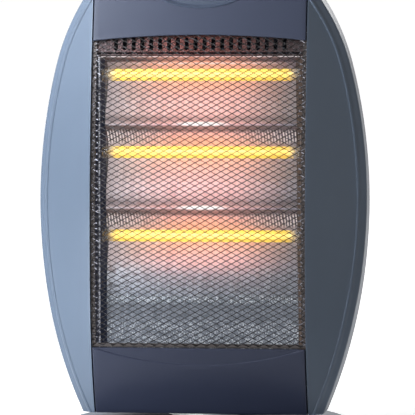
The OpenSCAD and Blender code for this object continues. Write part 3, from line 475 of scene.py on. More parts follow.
def joined(name, pieces):
    """One piece from several, which go first, so that it can have the name of one of them."""
    mesh, work = bpy.data.meshes.new(name), bmesh.new()
    for piece in pieces:
        work.from_mesh(piece.data)
        bpy.data.objects.remove(piece)
    work.to_mesh(mesh)
    work.free()
    return object_of(name, mesh)


# ------------------------ Geometry Nodes

class NodeTool(Graph):
    """A Geometry Nodes tree with named inputs, run once on an object and turned into a plain mesh."""

    KINDS = {float: "NodeSocketFloat", int: "NodeSocketInt", bpy.types.Object: "NodeSocketObject",
             bpy.types.Material: "NodeSocketMaterial"}

    def __init__(self, name, **inputs):
        tree = bpy.data.node_groups.new(name, "GeometryNodeTree")
        super().__init__(tree)
        tree.interface.new_socket("Geometry", in_out="INPUT", socket_type="NodeSocketGeometry")
        self.keys = {}
        for key, kind in inputs.items():
            socket = tree.interface.new_socket(key, in_out="INPUT", socket_type=self.KINDS[kind])
            self.keys[key] = socket.identifier
        tree.interface.new_socket("Geometry", in_out="OUTPUT", socket_type="NodeSocketGeometry")
        self.geometry = self.add("NodeGroupInput")

    def value(self, key):
        return Socket(self, self.geometry.link.node.outputs[key])

    def unit(self, key):
        """The mesh of the object that is given as an input."""
        return self.add("GeometryNodeObjectInfo", None, {"Object": self.value(key)}, "Geometry")

    def end(self, geometry):
        real = self.add("GeometryNodeRealizeInstances", None, [geometry])
        dressed = self.add("GeometryNodeSetMaterial", None, {"Geometry": real, "Material": self.value("Material")})
        self.add("NodeGroupOutput", None, [dressed])
        return self

    def run(self, piece, **values):
        modifier = piece.modifiers.new(self.tree.name, "NODES")
        modifier.node_group = self.tree
        for key, value in values.items():
            modifier[self.keys[key]] = value
        return settle(piece)


def make_repeat():
    """Sets a unit on every point of the mesh."""
    tool = NodeTool("repeat", Unit=bpy.types.Object, Material=bpy.types.Material)
    return tool.end(tool.add("GeometryNodeInstanceOnPoints", None, {
        "Points": tool.geometry, "Instance": tool.unit("Unit")}))


def make_mesh_guard():
    """Expanded metal: strands from every second point of a half-pitch lattice, laid on the front's curve."""
    tool = NodeTool("expanded_metal", Columns=int, Rows=int, Pitch_X=float, Pitch_Z=float, Low_Z=float,
                    Right=bpy.types.Object, Left=bpy.types.Object, Material=bpy.types.Material)
    columns, rows = tool.value("Columns"), tool.value("Rows")
    width = (columns - 1) * tool.value("Pitch_X")
    height = (rows - 1) * tool.value("Pitch_Z")
    lattice = tool.add("GeometryNodeMeshGrid", None, {
        "Size X": width, "Size Y": height, "Vertices X": columns, "Vertices Y": rows})
    index = tool.add("GeometryNodeInputIndex")
    column = (index / rows).floor()
    row = index - column * rows
    every_second = (column + row) % 2.0 < 0.5
    below_top = row < (rows - 1.5)
    strands = [tool.add("GeometryNodeInstanceOnPoints", None, {
        "Points": lattice, "Selection": every_second * below_top * inside, "Instance": tool.unit(key)})
        for key, inside in (("Right", column < (columns - 1.5)), ("Left", column > 0.5))]
    both = tool.add("GeometryNodeJoinGeometry", None, [strands])
    real = tool.add("GeometryNodeRealizeInstances", None, [both])
    x, y, z = tool.split(tool.add("GeometryNodeInputPosition"))
    up = y + tool.value("Low_Z") + height / 2
    above = up - WAIST_Z * MM
    radius = FRONT_R_LOW * MM + (above > 0) * ((FRONT_R - FRONT_R_LOW) * MM)
    sag = radius - (radius * radius - above * above).root()
    laid = tool.add("ShaderNodeCombineXYZ", None, (x, FRONT_Y * MM + sag + z, up))
    curved = tool.add("GeometryNodeSetPosition", None, {"Geometry": real, "Position": laid})
    return tool.end(tool.add("GeometryNodeFlipFaces", None, [curved]))


def make_coil():
    """A wire wound into a coil along X."""
    tool = NodeTool("coil", Turns=float, Length=float, Radius=float, Wire=float, Material=bpy.types.Material)
    spiral = tool.add("GeometryNodeCurveSpiral", None, {
        "Resolution": 10, "Rotations": tool.value("Turns"), "Start Radius": tool.value("Radius"),
        "End Radius": tool.value("Radius"), "Height": tool.value("Length")})
    ring = tool.add("GeometryNodeCurvePrimitiveCircle", None, {"Resolution": 5, "Radius": tool.value("Wire")})
    wound = tool.add("GeometryNodeCurveToMesh", None, {"Curve": spiral, "Profile Curve": ring, "Fill Caps": True})
    half_back = tool.add("ShaderNodeCombineXYZ", None, (0.0, 0.0, tool.value("Length") / -2))
    centred = tool.add("GeometryNodeTransform", None, {"Geometry": wound, "Translation": half_back})
    return tool.end(tool.add("GeometryNodeTransform", None, {"Geometry": centred, "Rotation": (0, math.pi / 2, 0)}))


repeat, mesh_guard, coil = make_repeat(), make_mesh_guard(), make_coil()


def repeated(name, unit, points, matrix=None):
    """The unit, repeated at points, as one plain mesh."""
    holder = piece_of(name, points, matrix=matrix)
    repeat.run(holder, Unit=unit)
    bpy.data.objects.remove(unit)
    return holder


def slots(name, width, height, depth, points, matrix=None):
    """Cutters for a pattern of slots with round ends; width and height are those of one slot."""
    unit = loft(name + "_unit", [round_box_ring(width / 2, height / 2, min(width, height) / 2, y, n=6)
                                 for y in (-depth, depth)])
    if matrix:
        unit.data.transform(matrix.to_3x3().to_4x4())
    return repeated(name, unit, points, matrix)


# ------------------------ camera, floor and light

AIM = Vector((0.004, -0.014, 0.241))
AZIMUTH, ELEVATION, DISTANCE, ROLL = math.radians(9), math.radians(5), 4.0, math.radians(-0.5)
SENSOR, FRAME_W = 36, 412 * MM      # the picture is this wide at the aim

camera_data = bpy.data.cameras.new("camera")
camera_data.sensor_width = SENSOR
camera_data.lens = SENSOR * DISTANCE / FRAME_W
camera = object_of("camera", camera_data)
ray = Vector((math.sin(AZIMUTH) * math.cos(ELEVATION), -math.cos(AZIMUTH) * math.cos(ELEVATION), math.sin(ELEVATION)))
camera.location = AIM + DISTANCE * ray
camera.rotation_euler = (ray.to_track_quat("Z", "Y") @ Quaternion((0, 0, 1), ROLL)).to_euler()
bpy.context.scene.camera = camera


def area_light(name, place, aim, size, power, colour=(1, 1, 1)):
    """A soft lamp at a place, turned to a point; its size in metres and its power in watts."""
    data = bpy.data.lights.new(name, "AREA")
    data.shape, data.size, data.size_y, data.energy, data.color = "RECTANGLE", size[0], size[1], power, colour
    lamp = object_of(name, data)
    lamp.location = place
    lamp.rotation_euler = (Vector(place) - Vector(aim)).to_track_quat("Z", "Y").to_euler()


area_light("key", (-1.5, -0.85, 0.9), (0, 0, 0.25), (0.9, 1.1), 2.2)
area_light("sheen", (-0.3, -0.25, 0.6), (-0.1, 0, 0.44), (0.34, 0.34), 4.4, (0.88, 0.94, 1))
area_light("low", (-0.34, -0.28, 0.12), (-0.1, 0, 0.06), (0.24, 0.24), 1.7, (0.86, 0.93, 1))
area_light("fill", (1.5, -0.9, 0.6), (0.1, 0, 0.25), (0.8, 1.0), 2.3)
area_light("top", (0.1, 0.3, 2.2), (0, 0, 0.2), (1.4, 1.4), 4)
area_light("rear", (0.6, 2.1, 1.2), (0, 0, 0.25), (1.5, 1.2), 14)


def background_rays(graph):
    """1 for rays from the camera and for those that metal and glass send on, 0 for the rest."""
    kinds = ("Is Camera Ray", "Is Glossy Ray", "Is Transmission Ray")
    return sum(graph.add("ShaderNodeLightPath", output=kind) for kind in kinds) > 0.5


AMBIENT, SHOWN_SKY = 0.07, 1.02     # the sky's strength on the object, and as a background
world = bpy.data.worlds.new("studio")
bpy.context.scene.world = world
world.use_nodes = True
sky = Graph(world.node_tree)
backdrop = world.node_tree.nodes["Background"]
sky.put(backdrop.inputs["Color"], (1, 1, 1))
sky.put(backdrop.inputs["Strength"], AMBIENT + background_rays(sky) * (SHOWN_SKY - AMBIENT))

FLOOR_HALF = 6000
floor = piece_of("floor", [(sx * FLOOR_HALF, sy * FLOOR_HALF, 0) for sx, sy in ((-1, -1), (1, -1), (1, 1), (-1, 1))],
                 [(0, 1, 2, 3)])
NO_LIGHT, WHITE = (0, 0, 0), (1, 1, 1)
pale = Finish("pale_floor", Roughness=0.9, Specular_IOR_Level=0.1, Emission_Strength=1.0)
pale.set(Base_Color=pale.ramp(pale.noise(3, 3), (0.3, (0.84, 0.84, 0.84)), (0.7, (0.88, 0.88, 0.88))))
# near the object the floor gives less light of its own, so that the shadow shows
reach = (pale.x * pale.x + pale.y * pale.y).root()
shown = pale.mix(reach.band(0.6, 2.5), (0.66, 0.66, 0.66), WHITE)
pale.set(Emission_Color=pale.mix(background_rays(pale), NO_LIGHT, shown))
floor.data.materials.append(pale.material)

# ------------------------ finishes

SHELL = moulded("dark_shell", srgb(50, 55, 72), 0.42, coat=0.04)
LOWER = moulded("lower_shell", srgb(40, 44, 61), 0.4, coat=0.03)
COVER = moulded("cover_paint", srgb(86, 97, 112), 0.4, coat=0.06, mottle=0.04)
TRIM = moulded("control_dish", srgb(60, 68, 84), 0.38, coat=0.04)
BASE = moulded("base_plastic", srgb(108, 116, 128), 0.5)
BLACK = moulded("black_plastic", (0.018, 0.018, 0.02), 0.45)
NYLON = moulded("nylon", (0.75, 0.73, 0.66), 0.5)
RUBBER = moulded("rubber", (0.022, 0.022, 0.023), 0.75, grain=0.0001)
CERAMIC = moulded("ceramic", (0.78, 0.75, 0.68), 0.6, grain=0.0001)
STEEL = metal("zinc_steel", (0.55, 0.55, 0.56), 0.36, (3, 60, 60))
FRAME_STEEL = metal("frame_steel", (0.06, 0.053, 0.052), 0.38, (60, 60, 3), 0.2)
BRASS = metal("brass", (0.72, 0.52, 0.24), 0.3)

SHEET_GLOW_Z, NET_GLOW_Z = 249.3, 251.5     # middle of the tubes' light on the sheet and on the net
RIDGES = (242.0, 324.8)                     # heights of the two ridges
FLANGE_FROM, FLANGE_TO = 0.386, 0.393       # the sheet goes over into its top flange
SLAB_FROM, SLAB_TO = 0.15, 0.192            # the lowest trough goes over into the flat part


def polished_sheet():
    """Bright embossed sheet. Its colour is the metal's tone, with painted shade and painted light in it, and its
    emission is
    painted light: the tubes' and lamps' light on it, rosy in the middle and grey beside it, with painted streaks of
    light, the flecks of the embossing, and the painted shade and shine of the ridges."""
    f = Finish("polished_sheet", Metallic=1.0, Emission_Strength=1.0)
    out = abs(f.x)
    ribs = f.noise(60, 3, 0.7, f.stretched(7, 0.5, 0.3))
    flecks = f.noise(330, 2, 0.6)
    foil = f.noise(120, 3, 0.7, f.stretched(1, 1, 2))
    across = f.x.band(-0.095, 0.095)
    middle = f.x.near(-0.004, 0.008, 0.104)
    sideways = 1 - middle
    facing = 1 - f.turned_back()
    flange = f.z.band(FLANGE_FROM, FLANGE_TO)
    sheet = 1 - flange
    inside = sheet * out.until(0.0975, 0.0992) * facing

    # the painted light of each tube; that of the lowest one runs out over the flat part
    close, lit = 0.0, 0.0
    for height in TUBES:
        away = abs(f.z - (SHEET_GLOW_Z + height) * MM)
        close = close + away.until(0.006, 0.026)
        if height > 0:
            lit = lit + away.until(0.026, 0.052)
        else:
            lit = lit + (away.until(0.02, 0.045) * 0.55 + away.until(0.03, 0.1) * 0.4)
    lit = lit.band(0.0, 1.0) * inside

    # a painted shine on each ridge, painted shade above and below it, and painted streaks of light under it
    crest, shade, streaks = 0.0, 0.0, 0.0
    for height in RIDGES:
        above = f.z - height * MM
        crest = crest + above.near(0, 0.0006, 0.0032 - out * 0.05) * out.until(0.01, 0.034)
        shade = shade + above.near(-0.0055, 0.002, 0.006) + above.near(0.0045, 0.001, 0.005) * 0.5
        streaks = streaks + above.near(-0.014, 0.004, 0.009)
    # more painted shade: a dark line near the flange, and a band at the sides below it
    shade = shade + f.z.near(0.3873, 0.0012, 0.003) * 0.8
    shade = shade + f.z.near(0.382, 0.004, 0.01) * sideways * 0.5
    shade = shade * (1 - crest) * (0.55 + 0.55 * foil) * (1 + sideways * 0.3)
    # fine lines of painted light under the ridges, with painted shade between them
    lines = ((f.x * 2100 + f.noise(90, 2) * 4 + f.z * 30).sine() * 0.5 + 0.5) * (0.55 + ribs * 0.9)
    streak = lines.band(0.62, 0.85) * (0.12 + 0.88 * sideways) * streaks
    shade_between_streaks = lines.until(0.25, 0.6) * sideways * streaks

    # painted bright lines under the flange and a painted orange line of glow below them, and in the flat part a
    # painted highlight along the crease, painted sparkles and a painted light patch
    rim_highlight = f.z.near(0.3913, 0.0005, 0.0012) + f.z.near(0.3834, 0.0005, 0.0014) * middle
    warm_glow_line = f.z.near(0.3815, 0.001, 0.005) * middle * inside
    crease = f.z.near(0.151, 0.002, 0.005)
    sparkle = f.noise(760, 1).band(0.52, 0.6) * foil.band(0.38, 0.52) * inside
    light_patch = f.z.near(0.171, 0.003, 0.021) * f.x.until(-0.09, -0.05) * inside

    # painted shade on the end walls and, at the left, painted light on the rolled rim
    slant = f.x * 0.988 + f.y * 0.156
    left_end = slant.until(-0.0995, -0.0985) * sheet
    right_end = slant.band(0.09, 0.091) * sheet
    rolled = (f.x < 0) * out.band(0.0998, 0.1002) * out.until(0.1014, 0.1018) * sheet * foil.band(0.4, 0.5)

    # painted light: lighter at the left where the lamps fall, grey towards the right, rosy to orange close to the
    # tubes, grey-blue over the flat part
    grey = f.mix(across, (0.48, 0.41, 0.42), (0.15, 0.13, 0.14))
    rose = f.mix(close, (1.12, 0.53, 0.5), (1.35, 0.52, 0.29))
    glow = f.mix(f.z.band(SLAB_FROM, SLAB_TO), (0.21, 0.215, 0.24), f.mix(middle, grey, rose))
    glow = f.mix(lit * (0.62 + ribs * 0.5 + (flecks - 0.5) * 0.5), NO_LIGHT, glow)
    # painted shade and painted highlights over the painted glow: beside and on the ridges, under the flange, in the
    # flat part, on the end walls and the rolled rim
    glow = f.layers(
        glow,
        (shade, (0.035, 0.018, 0.016)),
        (shade_between_streaks, (0.05, 0.03, 0.028)),
        (streak * 0.8, (0.9, 0.78, 0.74)),
        (crest, (1.0, 0.95, 0.93)),
        (rim_highlight * foil.band(0.4, 0.52) * facing * 0.85, (0.92, 0.84, 0.84)),
        (f.z.until(0.142, 0.157) * 0.5 * inside, (0.045, 0.052, 0.063)),
        (sparkle * (0.12 + crease * 0.4 + f.z.until(0.126, 0.134) * 0.32), (0.72, 0.76, 0.8)),
        (light_patch * foil.band(0.4, 0.56) * 0.33, (0.82, 0.88, 1.0)),
        (warm_glow_line * 0.45, (1.0, 0.42, 0.22)),
        (left_end, (0.01, 0.012, 0.02)),
        (right_end * 0.9, (0.06, 0.042, 0.034)),
        (rolled * 0.5, (0.3, 0.31, 0.35)))
    # the metal's own tone, the flange darker and brown, with painted warm glow in its middle, painted shade under the
    # ridges and on the end walls, painted light on the lower part, the crease, where the tubes shine and on the
    # rolled rim; the rim beyond the ends is kept an even mid grey
    metal_tone_and_painted_light = f.layers(
        f.ramp(foil * 0.5 + ribs * 0.5, (0.3, (0.05, 0.053, 0.062)), (0.7, (0.2, 0.212, 0.24))),
        (flange * 0.8, (0.05, 0.03, 0.028)),
        (flange * middle * 0.6, (0.16, 0.045, 0.035)),
        (shade, (0.05, 0.035, 0.035)),
        (f.z.until(0.13, 0.17) * 0.3, (0.2, 0.22, 0.26)),
        (crease * 0.6, (0.1, 0.11, 0.12)),
        (lit * across * 0.7, (0.12, 0.13, 0.17)),
        (left_end, (0.02, 0.024, 0.04)),
        (right_end, (0.05, 0.04, 0.036)),
        (rolled, (0.45, 0.46, 0.5)),
        (out.band(0.1016, 0.102) * sheet, (0.12, 0.11, 0.115)))
    back = f.ramp(foil, (0.3, (0.4, 0.4, 0.41)), (0.7, (0.56, 0.56, 0.57)))
    dull = left_end * out.until(0.1, 0.1003)
    f.set(Base_Color=f.mix(facing, back, metal_tone_and_painted_light), Emission_Color=f.mix(facing, NO_LIGHT, glow),
          Roughness=0.24 + foil * 0.25 + dull * 0.5)
    f.bump(ribs * 0.3 + foil * 0.5 + flecks * 0.2, 0.0012, 0.9)
    return f.material


def guard_finish():
    """Dark drawn steel, with painted glints, bright metal specks strewn most thickly beside the covers, and with the
    tubes' light painted on the strands in front of them.
    """
    f = Finish("guard_steel", Specular_IOR_Level=0.15, Emission_Strength=1.0)
    drawn = f.noise(900, 3, 0.6)
    edge = abs(f.x - 0.001).band(0.098, 0.1)
    # painted glints: specks of bright metal, thickest beside the covers
    glint = f.noise(420, 1).band(0.5, 0.62) * (0.1 + edge * 0.55)
    # the tubes' light painted on the strands in front of them, given off by the steel
    before = sum(f.z.near((NET_GLOW_Z + height) * MM, 0.002, 0.007) for height in TUBES)
    before = before * abs(f.x).until(0.08, 0.096)
    dark = f.ramp(drawn, (0.3, (0.012, 0.01, 0.01)), (0.7, (0.03, 0.025, 0.024)))
    f.set(Base_Color=f.mix(glint, dark, (0.42, 0.41, 0.46)), Metallic=glint, Roughness=0.22 + drawn * 0.16,
          Emission_Color=f.mix(before, NO_LIGHT, (0.3, 0.16, 0.02)))
    f.bump(drawn, 0.00003)
    return f.material


def sleeve_finish():
    """Braided glass fibre."""
    f = Finish("glass_fibre_sleeve", Roughness=0.8)
    up, across = f.z * 5200, f.x * 5200
    weave = (up + across).sine() * (up - across).sine()
    f.set(Base_Color=f.ramp(weave * 0.5 + 0.5, (0.1, (0.5, 0.49, 0.45)), (0.9, (0.8, 0.79, 0.74))))
    f.bump(weave, 0.0002)
    return f.material


def quartz_finish():
    """Hot quartz: yellow light through the wall, fading to clear glass at the ends."""
    f = Finish("hot_quartz", Roughness=0.08, Specular_IOR_Level=0.5, Emission_Strength=0.55)
    lit = abs(f.x).until(0.084, 0.0955)
    streak = f.noise(18, 4, 0.6, f.stretched(14, 60, 60))
    hot = f.ramp(streak, (0.25, srgb(228, 188, 62)), (0.75, srgb(248, 222, 92)))
    hot = f.mix(f.x.band(0.05, 0.1) * 0.75, hot, (0.2, 0.16, 0.05))
    f.set(Base_Color=f.mix(lit, (0.75, 0.75, 0.72), (0.95, 0.75, 0.2)), Emission_Color=f.mix(lit, NO_LIGHT, hot),
          Alpha=0.25 + lit * 0.5)
    return f.material


def filament_finish():
    """Glowing wire, white-hot in the middle and dark past the ends of the coil."""
    f = Finish("glowing_wire", Roughness=0.5, Emission_Strength=3.0)
    out = abs(f.x)
    hot = f.mix(out.until(0.02, 0.094), (1.0, 0.72, 0.22), (1.0, 0.86, 0.45))
    f.set(Base_Color=f.ramp(f.noise(300, 2), (0.3, (0.5, 0.4, 0.2)), (0.7, (0.6, 0.5, 0.3))),
          Emission_Color=f.mix(out.band(0.086, 0.094), hot, NO_LIGHT))
    return f.material


POLISHED, WIRE_STEEL, SLEEVE = polished_sheet(), guard_finish(), sleeve_finish()
QUARTZ, FILAMENT = quartz_finish(), filament_finish()

# ------------------------ side covers

FRONT_END, BACK_START = SPLIT_Y - SEAM, SPLIT_Y + SEAM
BEAD = [(9.9, 0), (9.4, 0.12), (9.0, 0.55), (8.5, 1.1), (8.0, 1.36), (7.5, 1.42), (7.0, 1.36), (6.5, 1.1),
        (6.0, 0.55), (5.6, 0.12), (5.1, 0)]     # inset from the outline, and height over the slanted face
TIP_X = COVER_X + 1.75                          # the cover ends where the outline is this far out


def cover_profile(z):
    """Points across a right-hand cover at a height: inner edge, slanted face, bead, side wall.

    At the tip, where there is no width left for them, the points stay a hair apart.
    """
    def across(inset, least=1.3):
        return max(half_width(z, inset), COVER_X + least + (BEAD[0][0] - inset) * 0.02)

    face = slant_at(COVER_X, z)
    points = [(COVER_X, face + d) for d in (10, 8, 6, 3, 1.2)] + [(COVER_X + 0.25, face + 0.4)]
    points += [(x, slant_at(x, z)) for x in between(COVER_X + 1.2, across(BEAD[0][0]), 12)[:-1]]
    for inset, height in BEAD:
        x, on = across(inset), smooth(COVER_X + 1.0, COVER_X + 2.5, half_width(z, inset))
        points.append((x, slant_at(x, z) - height * on))
    for inset in (4.2, 3.2, 2.4):
        x = across(inset, 1.4)
        points.append((x, slant_at(x, z)))
    start = max(half_width(z, 1.8), COVER_X + 1.7)
    edge = max(half_width(z), start + 0.05)
    corner = slant_at(edge, z)
    wall = corner + 1.8
    points += [bend((start, slant_at(start, z)), (edge, corner), (edge, wall), t) for t in between(0, 1, 5)]
    points += [(edge, y) for y in between(wall, FRONT_END, 5)[1:]]
    return points


def side_cover(side, name, node):
    top, steps = top_at(TIP_X), 76
    # closer together towards the tip
    heights = [FLOOR_Z + (top - FLOOR_Z) * (1 - (1 - s) ** 1.35) for s in between(0, 1, steps)]
    rows = [[(side * x, y, z) for x, y in cover_profile(z)] for z in heights]
    cover = skin(name, rows, COVER_WALL, (side * 120, 20, 250))
    # a sole closes the cover below, and a small point closes its tip
    back = (COVER_X + 0.05, FRONT_END)
    foot, tip = cover_profile(FLOOR_Z)[6:] + [back], cover_profile(top)[6:] + [back]
    point = [(back[0] + (x - back[0]) * 0.1, y) for x, y in tip]
    layers = ((tip, top - 1.6), (tip, top), (point, top_at(back[0] + 0.3)))
    sole = loft("sole", [[(side * x, y, z) for x, y in foot] for z in (FLOOR_Z, FLOOR_Z + COVER_WALL)])
    end = loft("tip", [[(side * x, y, z) for x, y in ring] for ring, z in layers])
    finish_piece(joined(name, [cover, sole, end]), COVER, "head", [node], 40)


side_cover(1, "cover_right", "side_cover_right")
side_cover(-1, "cover_left", "side_cover_left")

# ------------------------ top panel and control dish

# places across a panel's left edge, and how far the rounded edge stands back there
EDGE = [(-HALF_COLUMN - 0.1, 6.0), (-HALF_COLUMN - 0.05, 3.0), (-HALF_COLUMN, 1.0), (-HALF_COLUMN + 0.25, 0.35),
        (-HALF_COLUMN + 0.7, 0.08), (-HALF_COLUMN + 1.2, 0.0)]


def columns_across(steps=44):
    middle = [(x, 0.0) for x in between(EDGE[-1][0], -EDGE[-1][0], steps)[1:-1]]
    return EDGE + middle + [(-x, d) for x, d in reversed(EDGE)]


def top_panel():
    columns = []
    for x, back in columns_across():
        low = TOP_PANEL_Z - TOP_ARCH_R + math.sqrt(TOP_ARCH_R ** 2 - x * x)
        high = top_at(x)
        lip, crown = front_at(low) + back, front_at(high) + back
        column = [(x, lip + d, low) for d in (5.5, 3.5, 1.6, 0.8)]
        column += [(x, lip + 0.25, low + 0.25), (x, lip, low + 0.9)]
        turn = min(TOP_TURN, (FRONT_END - front_at(high)) / 2)
        column += [(x, front_at(z) + back, z) for z in between(low + 0.9, high - turn, 30)[1:]]
        start = (x, front_at(high - turn) + back, high - turn)
        column += [bend(start, (x, crown, high), (x, crown + turn, high), t) for t in between(0, 1, 5)[1:]]
        column += [(x, y, high) for y in between(crown + turn, FRONT_END, 4)[1:]]
        columns.append(column)
    piece = skin("top_shell", list(zip(*columns)), TOP_WALL, (0, 40, 450))
    hole = loft("hole", [ellipse_ring(CONTROL_W, CONTROL_H, y, 128) for y in (-20, 30)], CONTROL)
    finish_piece(cut(piece, hole), SHELL, "head", ["top_panel"], 30)


def control_dish():
    section = [(-1.0, 2.4), (-1.0, 0.2), (-0.75, -0.25), (-0.2, -0.5), (0.45, -0.35), (0.9, 0.1), (1.3, 0.9),
               (2.0, 3.4), (2.5, 4.4), (3.4, 4.9), (4.6, 5.0), (12, 5.0), (22, 5.0), (32, 5.0)]    # inset and depth
    rings = [ellipse_ring(CONTROL_W - inset, CONTROL_H - inset, y) for inset, y in section]
    piece = skin("control_dish", rings, DISH_WALL, (0, 40, 470), True, (0, CONTROL_DEEP, 0), CONTROL)
    for place in (-1, 0, 1):
        rings = [round_box_ring(SWITCH_HOLE_W, SWITCH_HOLE_H, 0.4, y, n=3) for y in (2, 12)]
        cut(piece, loft("opening", rings, CONTROL @ Matrix.Translation((place * SWITCH_PITCH, 0, 0))))
    finish_piece(piece, TRIM, "head", ["control_panel"], 35)


top_panel()
control_dish()

# ------------------------ switches

ROCKER_HALF_W, ROCKER_HALF_H, ROCKER_TIP = 5.6, 8.55, math.radians(8)
ROCKER_PIVOT, ROCKER_FACE, ROCKER_DISH, ROCKER_ROUND = 3.0, 3.1, 1.45, 0.5


def rocker(place, node):
    """A rocker with a dished face, tipped down at its lower end."""
    lean = (Matrix.Translation((place * SWITCH_PITCH, CONTROL_DEEP + ROCKER_PIVOT, 0))
            @ Matrix.Rotation(ROCKER_TIP, 4, "X"))
    face = [(s * ROCKER_HALF_H, -ROCKER_FACE - ROCKER_DISH * abs(s) ** 1.7) for s in between(-1, 1, 14)]
    section = face + [(s * ROCKER_HALF_H, y) for s, y in ((1, 0.9), (0.5, 4.0), (-0.5, 4.0), (-1, 0.9))]
    rings = [[(x, y, z) for z, y in section] for x in between(-ROCKER_HALF_W, ROCKER_HALF_W, 4)]
    piece = loft(node, rings, CONTROL @ lean)
    edges = piece.modifiers.new("round", "BEVEL")
    edges.width, edges.segments = ROCKER_ROUND * MM, 3
    edges.limit_method, edges.angle_limit = "ANGLE", math.radians(40)
    finish_piece(settle(piece), BLACK, node, [node]).name = node + "_cap"


for place, node in ((-1, "rocker_low"), (0, "rocker_high"), (1, "rocker_swing")):
    rocker(place, node)

# ------------------------ bottom panel


def bottom_panel():
    arc_r = (CRESCENT_DROP ** 2 + HALF_COLUMN ** 2) / (2 * CRESCENT_DROP)
    round_the_notch = [(s * x, 0.0) for x in (2.4, 7.1, 12, 13.5) for s in (-1, 1)]
    columns = []
    for x, back in sorted(columns_across() + round_the_notch):
        lip = min(LOW_PANEL_Z - CRESCENT_DROP + arc_r - math.sqrt(arc_r ** 2 - x * x), LOW_PANEL_Z - 1.6)
        deep = CRESCENT_DEEP * smooth(HALF_COLUMN, HALF_COLUMN - CRESCENT_FADE, abs(x))
        foot = front_at(FLOOR_Z) + back
        # the floor ends in a half-round notch for the swivel
        end = min(FRONT_END, -math.sqrt(max(NOTCH_R ** 2 - x * x, 0)))
        column = [(x, end + (foot + 2 - end) * s, FLOOR_Z) for s in (0, 0.35, 0.7, 0.97)]
        column += [(x, foot + 0.5, FLOOR_Z + 0.1), (x, front_at(FLOOR_Z + 1) + back, FLOOR_Z + 1)]
        column += [(x, front_at(z) + back, z) for z in between(FLOOR_Z + 1, lip - 0.6, 14)[1:]]
        for dz, share in ((-0.3, 0.04), (0.0, 0.2), (0.2, 0.7), (0.5, 0.97), (0.9, 1.0)):
            column.append((x, front_at(lip + dz) + back + deep * share, lip + dz))
        column += [(x, front_at(z) + back + deep, z) for z in between(lip + 0.9, LOW_PANEL_Z - 0.5, 8)[1:]]
        head = front_at(LOW_PANEL_Z) + deep + back
        column += [(x, head + d, LOW_PANEL_Z - down) for d, down in ((0.2, 0.15), (0.8, 0), (4.5, 0))]
        columns.append(column)
    piece = skin("bottom_shell", list(zip(*columns)), LOW_WALL, (0, 20, 60))
    finish_piece(piece, LOWER, "head", ["bottom_panel"], 30)


bottom_panel()

# ------------------------ rear cover, screw wells and carrying recess

REAR_EDGE_R = 2.6
WELL_HOLE_R, WELL_R, WELL_BORE_R = 4.05, 4.5, 3.7
VENT_W, VENT_H, VENT_PITCH, VENT_COLUMN = 42, 5, 12, 52
VENTS, FOOT_VENTS = (160, 14), (66, 4)          # height of the lowest, and how many
LIP_INSET = 2.2


def rear_cover():
    loops = list(zip(outline(0), outline(REAR_EDGE_R)))
    rows = []
    for share in (0.0, 0.35, 0.7, 1.0):
        rows.append([(x, BACK_START + (back_at(x1, z1) - REAR_EDGE_R - BACK_START) * share, z)
                     for (x, z), (x1, z1) in loops])
    for a in between(0, math.pi / 2, 5)[1:]:
        s, drop = 1 - math.cos(a), REAR_EDGE_R * (1 - math.sin(a))
        rows.append([(x + (x1 - x) * s, back_at(x1, z1) - drop, z + (z1 - z) * s) for (x, z), (x1, z1) in loops])
    for s in between(1, 0, 26)[1:-1]:
        ring = [(x * s, BACK_Z + (z - BACK_Z) * s) for _, (x, z) in loops]
        rows.append([(x, back_at(x, z), z) for x, z in ring])
    piece = skin("rear_shell", rows, REAR_WALL, (0, -20, 260), True, (0, back_at(0, BACK_Z), BACK_Z))

    places = [(column * VENT_COLUMN, 30, low + VENT_PITCH * i)
              for columns, (low, count) in (((-1, 0, 1), VENTS), ((0,), FOOT_VENTS))
              for column in columns for i in range(count)]
    cut(piece, slots("vents", VENT_W, VENT_H, 40, places))
    wells = [(s * x, z) for x, z in SCREWS for s in (-1, 1)]
    unit = loft("well_unit", turned(ALONG_Y, [(WELL_HOLE_R, -40), (WELL_HOLE_R, 40)]))
    cut(piece, repeated("well_holes", unit, [(x, 45, z) for x, z in wells]))
    cut(piece, loft("hand_hole", [round_box_ring(HANDLE_W / 2, HANDLE_H / 2, HANDLE_CORNER_R, y, HANDLE_Z)
                                  for y in (10, 70)]))
    cut(piece, loft("neck", turned(ALONG_Z, [(NOTCH_R, 30), (NOTCH_R, 45)], n=48)))
    tubes = []
    for x, z in wells:
        face = back_at(x, z)
        profile = [(WELL_R, 4.0), (WELL_R, face - 0.3), (4.2, face + 0.05), (3.8, face - 0.2),
                   (WELL_BORE_R, face - 1), (WELL_BORE_R, 4.0)]
        tubes.append(loft("well", turned(ALONG_Y, profile, (x, z)), closed=True))
    finish_piece(joined("rear_shell", [piece] + tubes), SHELL, "head", ["rear_cover"], 30)


def handle_cup():
    y = back_at(0, HANDLE_Z)
    section = [(-1.6, -3), (-1.6, 0.0), (-1.2, 0.7), (-0.3, 1.0), (0.8, 0.5), (1.6, -0.8), (2.0, -3), (2.3, -12),
               (3.0, -15.2), (4.6, -16.6), (7.0, -17)]      # inset from the hole, and depth from the back
    rings = []
    for inset, depth in section:
        corner = max(HANDLE_CORNER_R - inset, 3)
        ring = round_box_ring(HANDLE_W / 2 - inset, HANDLE_H / 2 - inset, corner, 0, HANDLE_Z)
        # the lip follows the back's curve, and the cup under it is flat
        rings.append([(px, depth + (back_at(px, pz) if inset < LIP_INSET else y), pz) for px, _, pz in ring])
    floor_y = y + section[-1][1]
    for s in (0.8, 0.5, 0.25):
        rings.append([(px * s, floor_y, HANDLE_Z + (pz - HANDLE_Z) * s) for px, _, pz in rings[len(section) - 1]])
    piece = skin("hand_recess", rings, DISH_WALL, (0, -30, HANDLE_Z), True, (0, floor_y, HANDLE_Z))
    finish_piece(piece, TRIM, "head", ["handle_cup"], 35)


rear_cover()
handle_cup()

# ------------------------ guard

